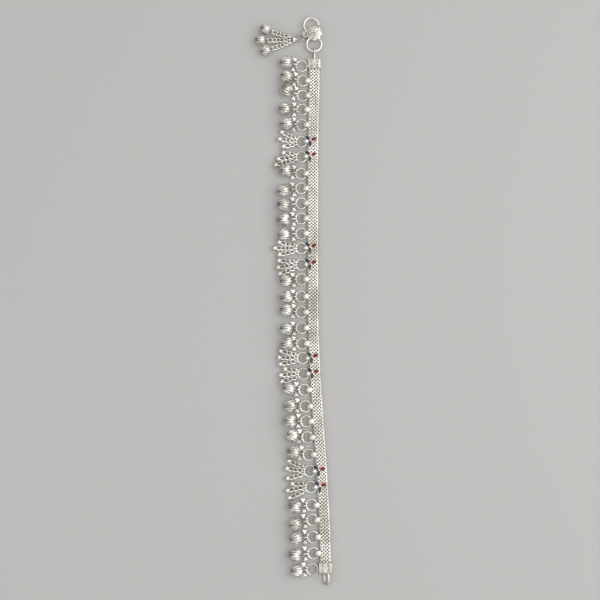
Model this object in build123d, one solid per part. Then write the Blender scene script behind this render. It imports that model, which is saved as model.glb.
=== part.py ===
from build123d import *

import os
from math import cos, radians, sin

# A payal: a silver anklet lying open and flat. A woven band runs along Y between two
# caps. A clasp hook hangs on one cap, an eye stands on the other, and a fringe of
# rings, bells, leaf drops and chain drops lies along the band's -X side.
# Millimetres, +Z up, origin in the middle of the underside of the whole.

STANDING = (Align.CENTER, Align.CENTER, Align.MIN)

# Band: a flat woven chain, modelled as one bar with the studs soldered along its edge.
BAND_WIDTH = 5.4
BAND_THICK = 2.2
BAND_CORNER = 0.7
BAND_TOP_Y = 111.0
BAND_END_Y = -125.8
BAND_STEPS = 16
BAND_X = 9.3
TOP_DRIFT, TOP_DRIFT_FROM, TOP_DRIFT_SPAN = 0.8, 60.0, 50.0
END_DRIFT, END_DRIFT_FROM, END_DRIFT_SPAN = 5.6, -4.0, 122.0

# Fringe: rings at an even pitch along the band's edge.
RING_RADIUS = 2.53
RING_WIRE = 0.26
RING_Z = 1.4
RING_REACH = 2.75
RING_PITCH = 7.33
FIRST_RING_Y = 109.0
TUNNEL_WIRE = 0.43

# Studs on the band's edge, each bored for its ring.
STUD_RADIUS = 1.65
STUD_OUT = 0.6
STUD_BOTTOM, STUD_TOP = 0.5, 3.3
STUD_ROUND = 1.3
MOTIF_BALL = 1.3
MOTIF_BALL_Z = 2.5
MOTIF_POST = 1.15
MOTIF_POST_BACK = 0.5

# Bells: hollow, ribbed, with a crimped rim, a pip and a wire bail.
BELL_RADIUS = 3.0
BELL_WALL = 0.4
BELL_RIM = 0.15
BELL_RIM_HALF = 0.22
BELL_PIP = 0.5
BELL_Z = 3.1
FLUTES = 12
FLUTE_LATITUDE = 38
FLUTE_HALF_ANGLE = 27
FLUTE_RADIUS = 0.36
FLUTE_CENTRE = 1.0
FLUTE_LIFT = 0.13
SLIT_WIDTH, SLIT_LENGTH = 0.5, 2.6
BAIL_WIRE = 0.25
BAIL_HALF = 0.85
TASSEL_BELL_RADIUS = 2.5

# Leaf drops: a wire eye and a stamped three-lobed leaf, two beside each bell.
EYE_RADIUS, EYE_WIRE = 0.95, 0.25
EYE_OFFSET = 0.25
EYE_ROLL, LEAF_ROLL = 60, 20
LEAF_THICK = 0.6
LOBE_RADIUS = 0.62
SIDE_LOBE_X, SIDE_LOBE_Y = 1.95, 0.5
TIP_LOBE_X = 2.7
LEAF_HEART, LEAF_HEART_X = 0.7, 2.15
LEAF_SPREAD = 34
LEAF_RISE = 10

# Chain links: stadium loops, each turned a quarter from the next.
LINK_LENGTH, LINK_WIDTH, LINK_WIRE = 2.6, 1.75, 0.23
LINK_ROLL = 45
FIRST_ROLL = 68
LINK_CATCH = 0.65
FIRST_CATCH = 0.78
BALL_RADIUS = 1.35
BALL_OFFSET = 0.75

# Enamel motif beside each chain drop: three leaf-shaped petals in raised cells.
PETAL_LENGTH, PETAL_WIDTH = 2.4, 1.2
PETAL_RIM = 0.2
PETAL_GAP = 0.03
CELL_BOTTOM, CELL_TOP = 1.45, 2.75
CELL_PAD = 0.8
POCKET_TOP = 4.0
ENAMEL_TOP, ENAMEL_BOTTOM = 2.7, 2.35
MOTIF_X, MOTIF_Y = 4.18, 0.65
PETAL_REACH = 1.75
PETAL_ANGLES = (143, 15, -97)

# End caps over the band's ends.
CAP_WIDTH, CAP_LENGTH, CAP_THICK = 6.5, 5.0, 3.0
CAP_ROUND = 0.6
CAP_FIT = 0.15
CAP_POCKET = 3.8
TOP_CAP_Y = 107.4
END_CAP_Y = -122.4
SCROLL_RADIUS, SCROLL_WIRE = 0.75, 0.22
SCROLL_X, SCROLL_Y = 1.6, 1.1
SCROLL_BEAD = 0.5
LUG_LENGTH, LUG_WIDTH = 2.6, 1.6
LUG_BOTTOM, LUG_TOP, LUG_ROUND = 0.5, 2.4, 0.3

# Eyes on the caps, and the clasp hook.
TOP_EYE_LENGTH, TOP_EYE_HEIGHT, TOP_EYE_WIRE = 5.7, 2.4, 0.5
TOP_EYE_Y = 114.55
END_EYE_LENGTH, END_EYE_WIDTH, END_EYE_WIRE = 5.1, 2.8, 0.7
END_EYE_Y = -129.55
END_EYE_LEAN = -50
END_EYE_SHIFT, END_EYE_Z = 0.4, 1.8
HOOK_WIRE = 0.5
HOOK_Z = 1.7
LOOP_RADIUS = 3.5
UPPER_LOOP = (8.55, 128.8)
LOWER_LOOP = (9.95, 119.5)
ROSETTE = (10.25, 124.8)
BOSS = (5.75, 124.0)
BOSS_RADIUS = 1.6
BOSS_BOTTOM, BOSS_TOP = 0.4, 3.1
BOSS_ROUND = 0.5
BOSS_GROOVE, BOSS_GROOVE_WIRE = 0.75, 0.2
UPPER_FROM, UPPER_SWEEP = 5, 245
TIP_RADIUS = 0.55

# The rose on the clasp hook: its layers, from the widest up.
ROSE_COLUMNS = ("petals", "reach", "radius", "turn", "top")
ROSE_ROWS = ((8, 2.7, 1.05, 0, 2.5), (7, 1.75, 0.85, 20, 3.2), (5, 0.95, 0.65, 5, 3.8))
ROSE_BOTTOM = 0.95
ROSE_HEART, ROSE_HEART_THICK = 2.6, 1.0
ROSE_BUD, ROSE_BUD_Z = 0.7, 3.7

# Tassel on the clasp hook: a wire link, a cap, three chains and three small bells.
TASSEL_Z = 1.5
TASSEL_WIRE = 0.2
TASSEL_HOLE = 0.42
TASSEL_BORE_X = 4.95
SHOULDER_UP, SHOULDER_DOWN = 2.0, 2.2
TASSEL_CAP = (0.85, 121.7)
TASSEL_CAP_Z = 1.65
TASSEL_CAP_LENGTH, TASSEL_CAP_WIDTH = 2.3, 3.2
TASSEL_COLLAR, TASSEL_COLLAR_ROUND = 1.3, 0.5
TASSEL_CORE, TASSEL_CORE_ROUND = 1.2, 0.3
LINK_FOOT, SHOULDER_ROUND = 0.7, 0.5
STAPLE_HALF, STAPLE_REACH = 2.3, 2.4
STAPLE_FOOT, STAPLE_SINK, STAPLE_ROUND = 1.0, 0.5, 0.4
TASSEL_BELL_Z = 2.55
TASSEL_HOLD = 3.3
TASSEL_BELL_TURN = 15

# Bell stations: the station's number along the band, its slip from the even pitch,
# the bell's distance from its ring, the way it leans (degrees towards +Y) and its
# turn about its own axis.
BELL_COLUMNS = ("station", "slip", "reach", "lean", "turn")
BELL_ROWS = (
    (0, -0.1, 7.3, 11, 0), (1, 0.1, 7.6, 11, 10), (2, 0.2, 7.8, 17, 21),
    (3, 0.8, 8.1, 1, 5), (4, 0.8, 7.0, 4, 15),
    (7, -0.6, 7.3, 9, 0), (8, -0.2, 8.2, -9, 12), (9, 0.0, 8.2, -8, 24),
    (10, 0.1, 8.2, -5, 8), (11, 0.3, 7.9, -3, 18),
    (14, 0.8, 6.9, -6, 3), (15, 0.0, 6.8, -1, 13), (16, 0.1, 6.8, 5, 27),
    (17, 0.0, 6.8, -5, 9), (18, 0.1, 6.8, 0, 20),
    (21, 0.7, 6.8, 3, 6), (22, 0.5, 6.8, 3, 16), (23, 0.9, 7.4, 2, 26),
    (24, 0.9, 6.8, 5, 2), (25, 0.3, 6.8, 11, 14),
    (28, -0.5, 7.5, -5, 22), (29, 0.1, 7.8, -10, 4), (30, -0.3, 7.5, -1, 11),
    (31, -0.2, 8.2, -4, 25), (32, -0.1, 6.8, -4, 7),
)

# Chain stations: the slip, then the three balls' places from the ring's centre and
# the solids in each chain, its ball link among them.
CHAIN_COLUMNS = ("station", "slip", "balls", "links")
CHAIN_ROWS = (
    (5, 0.0, ((-9.4, 4.8), (-10.4, 1.4), (-8.6, -2.2)), (4, 4, 3)),
    (6, 0.1, ((-8.6, 2.0), (-11.0, -0.9), (-12.1, -3.9)), (3, 4, 5)),
    (12, 0.7, ((-10.4, 2.9), (-12.5, 0.1), (-10.4, -3.0)), (4, 5, 4)),
    (13, 0.3, ((-10.5, 1.9), (-10.9, -1.3), (-10.0, -4.3)), (4, 4, 4)),
    (19, 0.7, ((-10.3, 3.4), (-11.0, 0.3), (-10.5, -2.8)), (4, 4, 4)),
    (20, 0.8, ((-8.6, 2.2), (-10.6, -0.7), (-10.0, -3.7)), (3, 4, 4)),
    (26, 0.2, ((-9.6, 4.6), (-10.6, 1.2), (-10.4, -3.3)), (4, 4, 4)),
    (27, 0.3, ((-8.6, 1.4), (-10.8, -1.6), (-9.8, -4.9)), (3, 4, 4)),
)
CHAIN_SPREAD = 30

# Enamel colours of each chain station's petals: upper, side and lower.
PETAL_COLOURS = (
    ("blue", "red", "blue"), ("blue", "red", "green"), ("blue", "red", "green"),
    ("blue", "red", "green"), ("green", "red", "green"), ("blue", "red", "green"),
    ("blue", "red", "green"), ("blue", "red", "green"),
)

# Tassel chains: where each starts on the staple, its bell's centre, and its links.
TASSEL_COLUMNS = ("start_y", "bell", "links")
TASSEL_ROWS = (
    (1.2, (-13.0, 126.5), 5),
    (0.0, (-15.4, 121.3), 6),
    (-1.2, (-12.8, 116.3), 5),
)


def rows(columns, table):
    """Each row of a table as a dictionary of its named columns."""
    return [dict(zip(columns, row)) for row in table]


def ease(t):
    """A smooth step from 0 to 1."""
    t = min(1.0, max(0.0, t))
    return t * t * (3 - 2 * t)


def centre_x(y):
    """The band's centreline, which drifts gently to +X at both ends."""
    top = TOP_DRIFT * ease((y - TOP_DRIFT_FROM) / TOP_DRIFT_SPAN)
    end = END_DRIFT * ease((END_DRIFT_FROM - y) / END_DRIFT_SPAN)
    return BAND_X + top + end


def ring_place(station, slip):
    """Centre of a station's ring, beside the band or the cap that carries it."""
    y = FIRST_RING_Y - RING_PITCH * station + slip
    on_cap = y > TOP_CAP_Y or y < END_CAP_Y
    half = CAP_WIDTH / 2 if on_cap else BAND_WIDTH / 2
    return Vector(centre_x(y) - half - RING_REACH, y, RING_Z)


def wire_loop(length, width, wire):
    """A closed stadium of round wire in the XY plane, by its centreline sizes."""
    path = SlotOverall(length, width).wire()
    section = Plane(origin=path @ 0, z_dir=path % 0) * Circle(wire)
    return sweep(section, path)


def ring(place):
    """A closed ring of round wire, lying level."""
    return Pos(*place) * Torus(RING_RADIUS, RING_WIRE)


def ring_tunnel(place):
    """The room that a ring needs where it passes through its stud."""
    return Pos(*place) * Torus(RING_RADIUS, TUNNEL_WIRE)


def edge_stud(place):
    """A rounded boss at the band's edge, over the ring's far side."""
    blank = Cylinder(STUD_RADIUS, STUD_TOP - STUD_BOTTOM, align=STANDING)
    blank = fillet(blank.faces().sort_by(Axis.Z)[-1].edges(), STUD_ROUND)
    return Pos(place.X + RING_REACH - STUD_OUT, place.Y, STUD_BOTTOM) * blank


def cap_lug(place):
    """A low lug on a cap's side for the ring that passes under the cap's edge."""
    blank = extrude(SlotOverall(LUG_LENGTH, LUG_WIDTH), LUG_TOP - LUG_BOTTOM)
    blank = fillet(blank.faces().sort_by(Axis.Z)[-1].edges(), LUG_ROUND)
    return Pos(place.X + RING_REACH, place.Y, LUG_BOTTOM) * blank


def motif_stud(place):
    """The ball and post that hold a chain drop's ring."""
    x = place.X + RING_RADIUS - MOTIF_POST_BACK
    post = Cylinder(MOTIF_POST, MOTIF_BALL_Z - STUD_BOTTOM, align=STANDING)
    ball = Pos(x, place.Y, MOTIF_BALL_Z) * Sphere(MOTIF_BALL)
    return Pos(x, place.Y, STUD_BOTTOM) * post + ball


def petal(length, width, bottom, top):
    """A pointed leaf between two arcs, standing from one height to another."""
    half, side = length / 2, width / 2
    upper = ThreePointArc((-half, 0), (0, side), (half, 0))
    lower = ThreePointArc((half, 0), (0, -side), (-half, 0))
    return Pos(0, 0, bottom) * extrude(make_face([upper, lower]), top - bottom)


def petal_places(place):
    """Where a station's three petals lie, on the band beside the ring."""
    motif = Pos(place.X + MOTIF_X, place.Y + MOTIF_Y, 0)
    return [motif * Rot(0, 0, angle) * Pos(PETAL_REACH, 0, 0) for angle in PETAL_ANGLES]


def motif_cells(place):
    """The raised silver cells round a station's petals, and the pad between them."""
    size = (PETAL_LENGTH + 2 * PETAL_RIM, PETAL_WIDTH + 2 * PETAL_RIM)
    cells = [spot * petal(*size, CELL_BOTTOM, CELL_TOP) for spot in petal_places(place)]
    pad = Cylinder(CELL_PAD, CELL_TOP - CELL_BOTTOM, align=STANDING)
    return cells + [Pos(place.X + MOTIF_X, place.Y + MOTIF_Y, CELL_BOTTOM) * pad]


def petal_pockets(place):
    """The room cut in the cells for the enamel."""
    size = (PETAL_LENGTH + 2 * PETAL_GAP, PETAL_WIDTH + 2 * PETAL_GAP)
    return [spot * petal(*size, ENAMEL_BOTTOM - PETAL_GAP, POCKET_TOP) for spot in petal_places(place)]


def band(bell_places, chain_places):
    """The woven bar, its studs and its enamel cells in one soldered piece."""
    span = BAND_TOP_Y - BAND_END_Y
    ys = [BAND_TOP_Y - span * step / BAND_STEPS for step in range(BAND_STEPS + 1)]
    left = [(centre_x(y) - BAND_WIDTH / 2, y) for y in ys]
    right = [(centre_x(y) + BAND_WIDTH / 2, y) for y in reversed(ys)]
    outline = make_face(Polyline(*left, *right, close=True))
    body = extrude(outline, BAND_THICK)
    long_edges = [edge for edge in body.edges() if edge.length > BAND_WIDTH]
    body = fillet(long_edges, BAND_CORNER)
    for place in bell_places:
        body += edge_stud(place)
    for place in chain_places:
        body += motif_stud(place)
        body += motif_cells(place)
    body -= [ring_tunnel(place) for place in bell_places + chain_places]
    for place in chain_places:
        body -= petal_pockets(place)
    return body


def bell_body(radius):
    """A hollow ribbed bell about its own Z axis, bail end up, with a slit in its far end."""
    share = radius / BELL_RADIUS
    blank = Sphere(radius) + Cylinder(radius + BELL_RIM * share, 2 * BELL_RIM_HALF * share)
    blank += Pos(0, 0, -radius) * Sphere(BELL_PIP * share)
    flute = Torus(radius + FLUTE_LIFT * share - FLUTE_CENTRE * share, FLUTE_RADIUS * share,
                  major_angle=2 * FLUTE_HALF_ANGLE, align=None)
    flute = Pos(FLUTE_CENTRE * share, 0, 0) * Rot(0, 0, -FLUTE_HALF_ANGLE) * flute
    cuts = []
    for number in range(FLUTES):
        for latitude in (FLUTE_LATITUDE, -FLUTE_LATITUDE):
            upright = Rot(90, 0, 0) * Rot(0, 0, latitude) * flute
            cuts.append(Rot(0, 0, 360 / FLUTES * number) * upright)
    slit = Pos(0, 0, -radius) * Box(SLIT_LENGTH * share, SLIT_WIDTH * share, radius)
    return blank - cuts - Sphere(radius - BELL_WALL) - slit


def bail(radius, reach):
    """A U of wire, its legs in the bell's crown and its bend at the given distance."""
    foot = ((radius - BELL_WALL / 2) ** 2 - BAIL_HALF ** 2) ** 0.5
    bend = reach - BAIL_HALF
    leg = Cylinder(BAIL_WIRE, bend - foot, align=STANDING)
    legs = [Pos(side * BAIL_HALF, 0, foot) * leg for side in (-1, 1)]
    bend_wire = Pos(0, 0, bend) * Rot(90, 0, 0) * Torus(
        BAIL_HALF, BAIL_WIRE, major_angle=180, align=None)
    return bend_wire + legs


def hung_bell(body, radius, centre, hold, turn, bail_turn=90):
    """A bell lying with its bail caught over a wire that passes through hold."""
    span = hold - centre
    reach = span.length + LINK_CATCH
    level = Vector(0, 0, 1).cross(span)
    axis = Plane(origin=centre, x_dir=level, z_dir=span).location
    return axis * (Rot(0, 0, turn) * body + Rot(0, 0, bail_turn) * bail(radius, reach))


def leaf_drop(place, angle, side):
    """A leaf drop on a ring's wire, at an angle from -X, rolled and tipped to one side."""
    eye = Pos(EYE_OFFSET, 0, 0) * Rot(side * EYE_ROLL, 0, 0) * Torus(EYE_RADIUS, EYE_WIRE)
    leaf = Pos(LEAF_HEART_X, 0, 0) * Cylinder(LEAF_HEART, LEAF_THICK)
    for x, y in ((SIDE_LOBE_X, SIDE_LOBE_Y), (SIDE_LOBE_X, -SIDE_LOBE_Y), (TIP_LOBE_X, 0)):
        leaf += Pos(x, y, 0) * Cylinder(LOBE_RADIUS, LEAF_THICK)
    drop = eye + Rot(side * LEAF_ROLL, 0, 0) * leaf
    turn = Rot(0, 0, 180 - angle) * Pos(RING_RADIUS, 0, 0) * Rot(0, -side * LEAF_RISE, 0)
    return Pos(*place) * turn * drop


def chain_links(last, count):
    """Links along X from a wire at 0 to the last link's centre, each turned from the next.

    The first link stands steeper than the others, square to the wire that it hangs on.
    """
    first = LINK_LENGTH / 2 - FIRST_CATCH
    step = (last - first) / (count - 1)
    link = wire_loop(LINK_LENGTH, LINK_WIDTH, LINK_WIRE)
    turns = [FIRST_ROLL] + [LINK_ROLL if number % 2 == 0 else -LINK_ROLL for number in range(1, count)]
    return [Pos(first + step * number, 0, 0) * Rot(turn, 0, 0) * link
            for number, turn in enumerate(turns)]


def ball_chain(start, end, count):
    """Links from a wire through start to a ball centred at end, the ball on the last link."""
    span = end - start
    links = chain_links(span.length - LINK_LENGTH / 2 - BALL_OFFSET, count)
    links[-1] += Pos(span.length, 0, 0) * Sphere(BALL_RADIUS)
    level = span.cross(Vector(0, 0, 1))
    line = Plane(origin=start, x_dir=span, z_dir=level.cross(span)).location
    return [line * link for link in links]


def chain_drop(place, balls, counts):
    """Three chains on one ring, fanned out to their balls."""
    solids = []
    for spread, ball, count in zip((CHAIN_SPREAD, 0, -CHAIN_SPREAD), balls, counts):
        angle = radians(180 - spread)
        start = place + Vector(RING_RADIUS * cos(angle), RING_RADIUS * sin(angle), 0)
        end = Vector(place.X + ball[0], place.Y + ball[1], BALL_RADIUS)
        solids += ball_chain(start, end, count)
    return solids


def end_cap(mouth_y, toward, place, eye):
    """A cap over the band's end, with its eye, its scrollwork and a lug for its ring."""
    y = mouth_y + toward * CAP_LENGTH / 2
    x = centre_x(y)
    body = Box(CAP_WIDTH, CAP_LENGTH, CAP_THICK, align=STANDING)
    body = Pos(x, y, 0) * fillet(body.edges(), CAP_ROUND)
    for dx in (-SCROLL_X, SCROLL_X):
        for dy in (-SCROLL_Y, SCROLL_Y):
            body += Pos(x + dx, y + dy, CAP_THICK) * Torus(SCROLL_RADIUS, SCROLL_WIRE)
    body += Pos(x, y, CAP_THICK) * Sphere(SCROLL_BEAD)
    body += eye
    body += cap_lug(place)
    pocket = Box(BAND_WIDTH + 2 * CAP_FIT, 2 * CAP_POCKET, 2 * (BAND_THICK + CAP_FIT))
    return body - ring_tunnel(place) - Pos(x, mouth_y, 0) * pocket


def top_eye():
    """The upright eye that the clasp hook turns in."""
    loop = wire_loop(TOP_EYE_LENGTH, TOP_EYE_HEIGHT, TOP_EYE_WIRE)
    upright = Rot(0, 90, 0) * Rot(0, 0, 90) * loop
    return Pos(centre_x(TOP_EYE_Y), TOP_EYE_Y, HOOK_Z) * upright


def end_eye():
    """The leaning eye that the clasp hook catches."""
    loop = Rot(0, 0, 90) * wire_loop(END_EYE_LENGTH, END_EYE_WIDTH, END_EYE_WIRE)
    return Pos(centre_x(END_EYE_Y) + END_EYE_SHIFT, END_EYE_Y, END_EYE_Z) * Rot(0, END_EYE_LEAN, 0) * loop


def rosette():
    """A rose of stepped, scalloped layers round a bud."""
    rose = Pos(0, 0, ROSE_BOTTOM) * Cylinder(ROSE_HEART, ROSE_HEART_THICK, align=STANDING)
    for row in rows(ROSE_COLUMNS, ROSE_ROWS):
        lobe = Cylinder(row["radius"], row["top"] - ROSE_BOTTOM, align=STANDING)
        for number in range(row["petals"]):
            turn = Rot(0, 0, 360 / row["petals"] * number + row["turn"])
            rose += turn * Pos(row["reach"], 0, ROSE_BOTTOM) * lobe
    return rose + Pos(0, 0, ROSE_BUD_Z) * Sphere(ROSE_BUD)


def clasp_hook():
    """Two wire loops, the rose between them and the bored boss for the tassel."""
    upper = Pos(*UPPER_LOOP, HOOK_Z) * Rot(0, 0, UPPER_FROM) * Torus(
        LOOP_RADIUS, HOOK_WIRE, major_angle=UPPER_SWEEP, align=None)
    tip_angle = radians(UPPER_FROM)
    tip_x = UPPER_LOOP[0] + LOOP_RADIUS * cos(tip_angle)
    tip = Pos(tip_x, UPPER_LOOP[1] + LOOP_RADIUS * sin(tip_angle), HOOK_Z) * Sphere(TIP_RADIUS)
    lower = Pos(*LOWER_LOOP, HOOK_Z) * Torus(LOOP_RADIUS, HOOK_WIRE)
    boss = Cylinder(BOSS_RADIUS, BOSS_TOP - BOSS_BOTTOM, align=STANDING)
    boss = fillet(boss.faces().sort_by(Axis.Z)[-1].edges(), BOSS_ROUND)
    boss -= Pos(0, 0, BOSS_TOP - BOSS_BOTTOM) * Torus(BOSS_GROOVE, BOSS_GROOVE_WIRE)
    bore = Pos(TASSEL_BORE_X, BOSS[1], TASSEL_Z) * Rot(90, 0, 0) * Cylinder(TASSEL_HOLE, 4 * BOSS_RADIUS)
    return (upper + tip + lower + Pos(*ROSETTE, 0) * rosette() + Pos(*BOSS, BOSS_BOTTOM) * boss) - bore


def wire_along(points, radius, wire):
    """Round wire along straight runs with rounded corners, level at the tassel's height."""
    path = Pos(0, 0, TASSEL_Z) * FilletPolyline(*points, radius=radius)
    section = Plane(origin=path @ 0, z_dir=path % 0) * Circle(wire)
    return sweep(section, path)


def tassel_link():
    """The wire through the boss, the tassel's cap and the staple for its chains."""
    x, y = TASSEL_CAP
    boss_y = BOSS[1]
    link = wire_along([
        (x, y + LINK_FOOT), (TASSEL_BORE_X, boss_y + SHOULDER_UP),
        (TASSEL_BORE_X, boss_y - SHOULDER_DOWN), (x, y - LINK_FOOT)], SHOULDER_ROUND, TASSEL_WIRE)
    rod_x, foot_x = x - STAPLE_REACH, x - STAPLE_SINK
    staple = wire_along([
        (foot_x, y + STAPLE_FOOT), (rod_x, y + STAPLE_HALF),
        (rod_x, y - STAPLE_HALF), (foot_x, y - STAPLE_FOOT)], STAPLE_ROUND, LINK_WIRE)
    collar = Cylinder(TASSEL_CAP_WIDTH / 2, TASSEL_COLLAR)
    collar = fillet(collar.edges(), TASSEL_COLLAR_ROUND)
    core = fillet(Cylinder(TASSEL_CORE, TASSEL_CAP_LENGTH).edges(), TASSEL_CORE_ROUND)
    cap = Pos(x, y, TASSEL_CAP_Z) * Rot(0, 90, 0) * (collar + core)
    return link + cap + staple


def tassel_chain(row):
    """One tassel chain's links, and its bell's place and hold."""
    start = Vector(TASSEL_CAP[0] - STAPLE_REACH, TASSEL_CAP[1] + row["start_y"], TASSEL_Z)
    bell = Vector(*row["bell"], TASSEL_BELL_Z)
    level = Vector(*row["bell"], TASSEL_Z) - start
    hold_span = (TASSEL_HOLD ** 2 - (TASSEL_BELL_Z - TASSEL_Z) ** 2) ** 0.5
    hold_at = level.length - hold_span
    line = Plane(origin=start, x_dir=level, z_dir=Vector(0, 0, 1)).location
    links = [line * link for link in chain_links(hold_at - LINK_LENGTH / 2, row["links"])]
    return links, bell, start + level.normalized() * hold_at


def save(name, solids):
    """Write one sub-part's solids to its own file."""
    shape = Compound(children=solids) if len(solids) > 1 else solids[0]
    shape.label = name
    export_step(shape, f"parts/{name}.step")


os.makedirs("parts", exist_ok=True)

bells = rows(BELL_COLUMNS, BELL_ROWS)
chains = rows(CHAIN_COLUMNS, CHAIN_ROWS)
bell_places = [ring_place(row["station"], row["slip"]) for row in bells]
chain_places = [ring_place(row["station"], row["slip"]) for row in chains]
top_place, *band_places, end_place = bell_places

save("band", [band(band_places, chain_places)])
save("end_cap_clasp_end", [end_cap(TOP_CAP_Y, 1, top_place, top_eye())])
save("end_cap_eye_end", [end_cap(END_CAP_Y, -1, end_place, end_eye())])
save("clasp_hook", [clasp_hook()])
save("fringe_rings", [ring(place) for place in bell_places + chain_places])

fringe_bell = bell_body(BELL_RADIUS)
leaves = []
for number, (row, place) in enumerate(zip(bells, bell_places), start=1):
    out = radians(180 - row["lean"])
    away = Vector(cos(out), sin(out), 0)
    centre = place + away * row["reach"] + Vector(0, 0, BELL_Z - RING_Z)
    hold = place + away * RING_RADIUS
    save(f"bell_{number:02d}", [hung_bell(fringe_bell, BELL_RADIUS, centre, hold, row["turn"])])
    for side in (1, -1):
        leaves.append(leaf_drop(place, row["lean"] + side * LEAF_SPREAD, side))
save("leaf_drops", leaves)

for number, (row, place) in enumerate(zip(chains, chain_places), start=1):
    save(f"chain_drop_{number}", chain_drop(place, row["balls"], row["links"]))

for colour in ("red", "blue", "green"):
    inlays = []
    for colours, place in zip(PETAL_COLOURS, chain_places):
        for spot, petal_colour in zip(petal_places(place), colours):
            if petal_colour == colour:
                inlays.append(spot * petal(PETAL_LENGTH, PETAL_WIDTH, ENAMEL_BOTTOM, ENAMEL_TOP))
    save(f"enamel_{colour}", inlays)

save("tassel_link", [tassel_link()])
small_bell = bell_body(TASSEL_BELL_RADIUS)
tassel_links = []
for number, row in enumerate(rows(TASSEL_COLUMNS, TASSEL_ROWS), start=1):
    links, centre, hold = tassel_chain(row)
    tassel_links += links
    cross = LINK_ROLL if row["links"] % 2 == 1 else -LINK_ROLL
    save(f"tassel_bell_{number}", [hung_bell(
        small_bell, TASSEL_BELL_RADIUS, centre, hold, TASSEL_BELL_TURN * number, cross)])
save("tassel_chains", tassel_links)
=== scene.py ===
"""Dresses the solids of a silver payal anklet, which lies open and flat, in one fixed frame."""

import logging
import math
from dataclasses import dataclass, field
from enum import Enum
from typing import Callable, Iterable, Sequence

import bmesh
import bpy
from mathutils import Matrix, Vector


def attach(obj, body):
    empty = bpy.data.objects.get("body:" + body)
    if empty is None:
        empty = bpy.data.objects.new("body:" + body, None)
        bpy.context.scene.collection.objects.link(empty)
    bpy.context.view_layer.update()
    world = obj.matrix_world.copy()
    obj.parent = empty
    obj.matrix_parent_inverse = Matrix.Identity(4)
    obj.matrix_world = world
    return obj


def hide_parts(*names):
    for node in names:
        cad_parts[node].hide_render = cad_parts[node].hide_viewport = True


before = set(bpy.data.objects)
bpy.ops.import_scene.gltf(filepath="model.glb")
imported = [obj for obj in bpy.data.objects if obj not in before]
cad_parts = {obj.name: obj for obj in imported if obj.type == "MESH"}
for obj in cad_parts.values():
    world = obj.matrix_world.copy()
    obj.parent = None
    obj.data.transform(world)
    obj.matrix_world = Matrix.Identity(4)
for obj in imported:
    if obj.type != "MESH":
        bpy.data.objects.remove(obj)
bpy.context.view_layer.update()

LOG = logging.getLogger("payal")
MM = 0.001
# How near two points count as one, when a mesh is welded and when it is cut.
WELD_MM = 1e-4
CUT_MM = 1e-5
ROOT = "root"


# ---------------------------------------------------------------- layout of the anklet


@dataclass(frozen=True)
class BellRow:
    """A bell station: its number, its slip from the even pitch and how its bell lies."""

    station: int
    slip: float
    reach: float
    lean: float
    turn: float


@dataclass(frozen=True)
class ChainRow:
    """A chain station: its number, its slip, its balls' places from the ring and its links."""

    station: int
    slip: float
    balls: tuple[tuple[float, float], ...]
    links: tuple[int, ...]


@dataclass(frozen=True)
class TasselRow:
    """A tassel chain: where it starts on the staple, its bell's centre and its links."""

    start_y: float
    bell: tuple[float, float]
    links: int


BELL_ROWS: tuple[BellRow, ...] = tuple(BellRow(*row) for row in (
    (0, -0.1, 7.3, 11, 0), (1, 0.1, 7.6, 11, 10), (2, 0.2, 7.8, 17, 21),
    (3, 0.8, 8.1, 1, 5), (4, 0.8, 7.0, 4, 15),
    (7, -0.6, 7.3, 9, 0), (8, -0.2, 8.2, -9, 12), (9, 0.0, 8.2, -8, 24),
    (10, 0.1, 8.2, -5, 8), (11, 0.3, 7.9, -3, 18),
    (14, 0.8, 6.9, -6, 3), (15, 0.0, 6.8, -1, 13), (16, 0.1, 6.8, 5, 27),
    (17, 0.0, 6.8, -5, 9), (18, 0.1, 6.8, 0, 20),
    (21, 0.7, 6.8, 3, 6), (22, 0.5, 6.8, 3, 16), (23, 0.9, 7.4, 2, 26),
    (24, 0.9, 6.8, 5, 2), (25, 0.3, 6.8, 11, 14),
    (28, -0.5, 7.5, -5, 22), (29, 0.1, 7.8, -10, 4), (30, -0.3, 7.5, -1, 11),
    (31, -0.2, 8.2, -4, 25), (32, -0.1, 6.8, -4, 7),
))
CHAIN_ROWS: tuple[ChainRow, ...] = tuple(ChainRow(*row) for row in (
    (5, 0.0, ((-9.4, 4.8), (-10.4, 1.4), (-8.6, -2.2)), (4, 4, 3)),
    (6, 0.1, ((-8.6, 2.0), (-11.0, -0.9), (-12.1, -3.9)), (3, 4, 5)),
    (12, 0.7, ((-10.4, 2.9), (-12.5, 0.1), (-10.4, -3.0)), (4, 5, 4)),
    (13, 0.3, ((-10.5, 1.9), (-10.9, -1.3), (-10.0, -4.3)), (4, 4, 4)),
    (19, 0.7, ((-10.3, 3.4), (-11.0, 0.3), (-10.5, -2.8)), (4, 4, 4)),
    (20, 0.8, ((-8.6, 2.2), (-10.6, -0.7), (-10.0, -3.7)), (3, 4, 4)),
    (26, 0.2, ((-9.6, 4.6), (-10.6, 1.2), (-10.4, -3.3)), (4, 4, 4)),
    (27, 0.3, ((-8.6, 1.4), (-10.8, -1.6), (-9.8, -4.9)), (3, 4, 4)),
))
TASSEL_ROWS: tuple[TasselRow, ...] = (
    TasselRow(1.2, (-13.0, 126.5), 5),
    TasselRow(0.0, (-15.4, 121.3), 6),
    TasselRow(-1.2, (-12.8, 116.3), 5),
)


def ease(t: float) -> float:
    """A smooth step from 0 to 1."""
    t = min(1.0, max(0.0, t))
    return t * t * (3 - 2 * t)


@dataclass(frozen=True)
class Drift:
    """A gentle drift of the band to +X: how far, and where along the band it starts and ends."""

    by: float
    start_y: float
    end_y: float

    def at(self, y: float) -> float:
        """How far the band has drifted at a height along it."""
        return self.by * ease((y - self.start_y) / (self.end_y - self.start_y))


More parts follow.
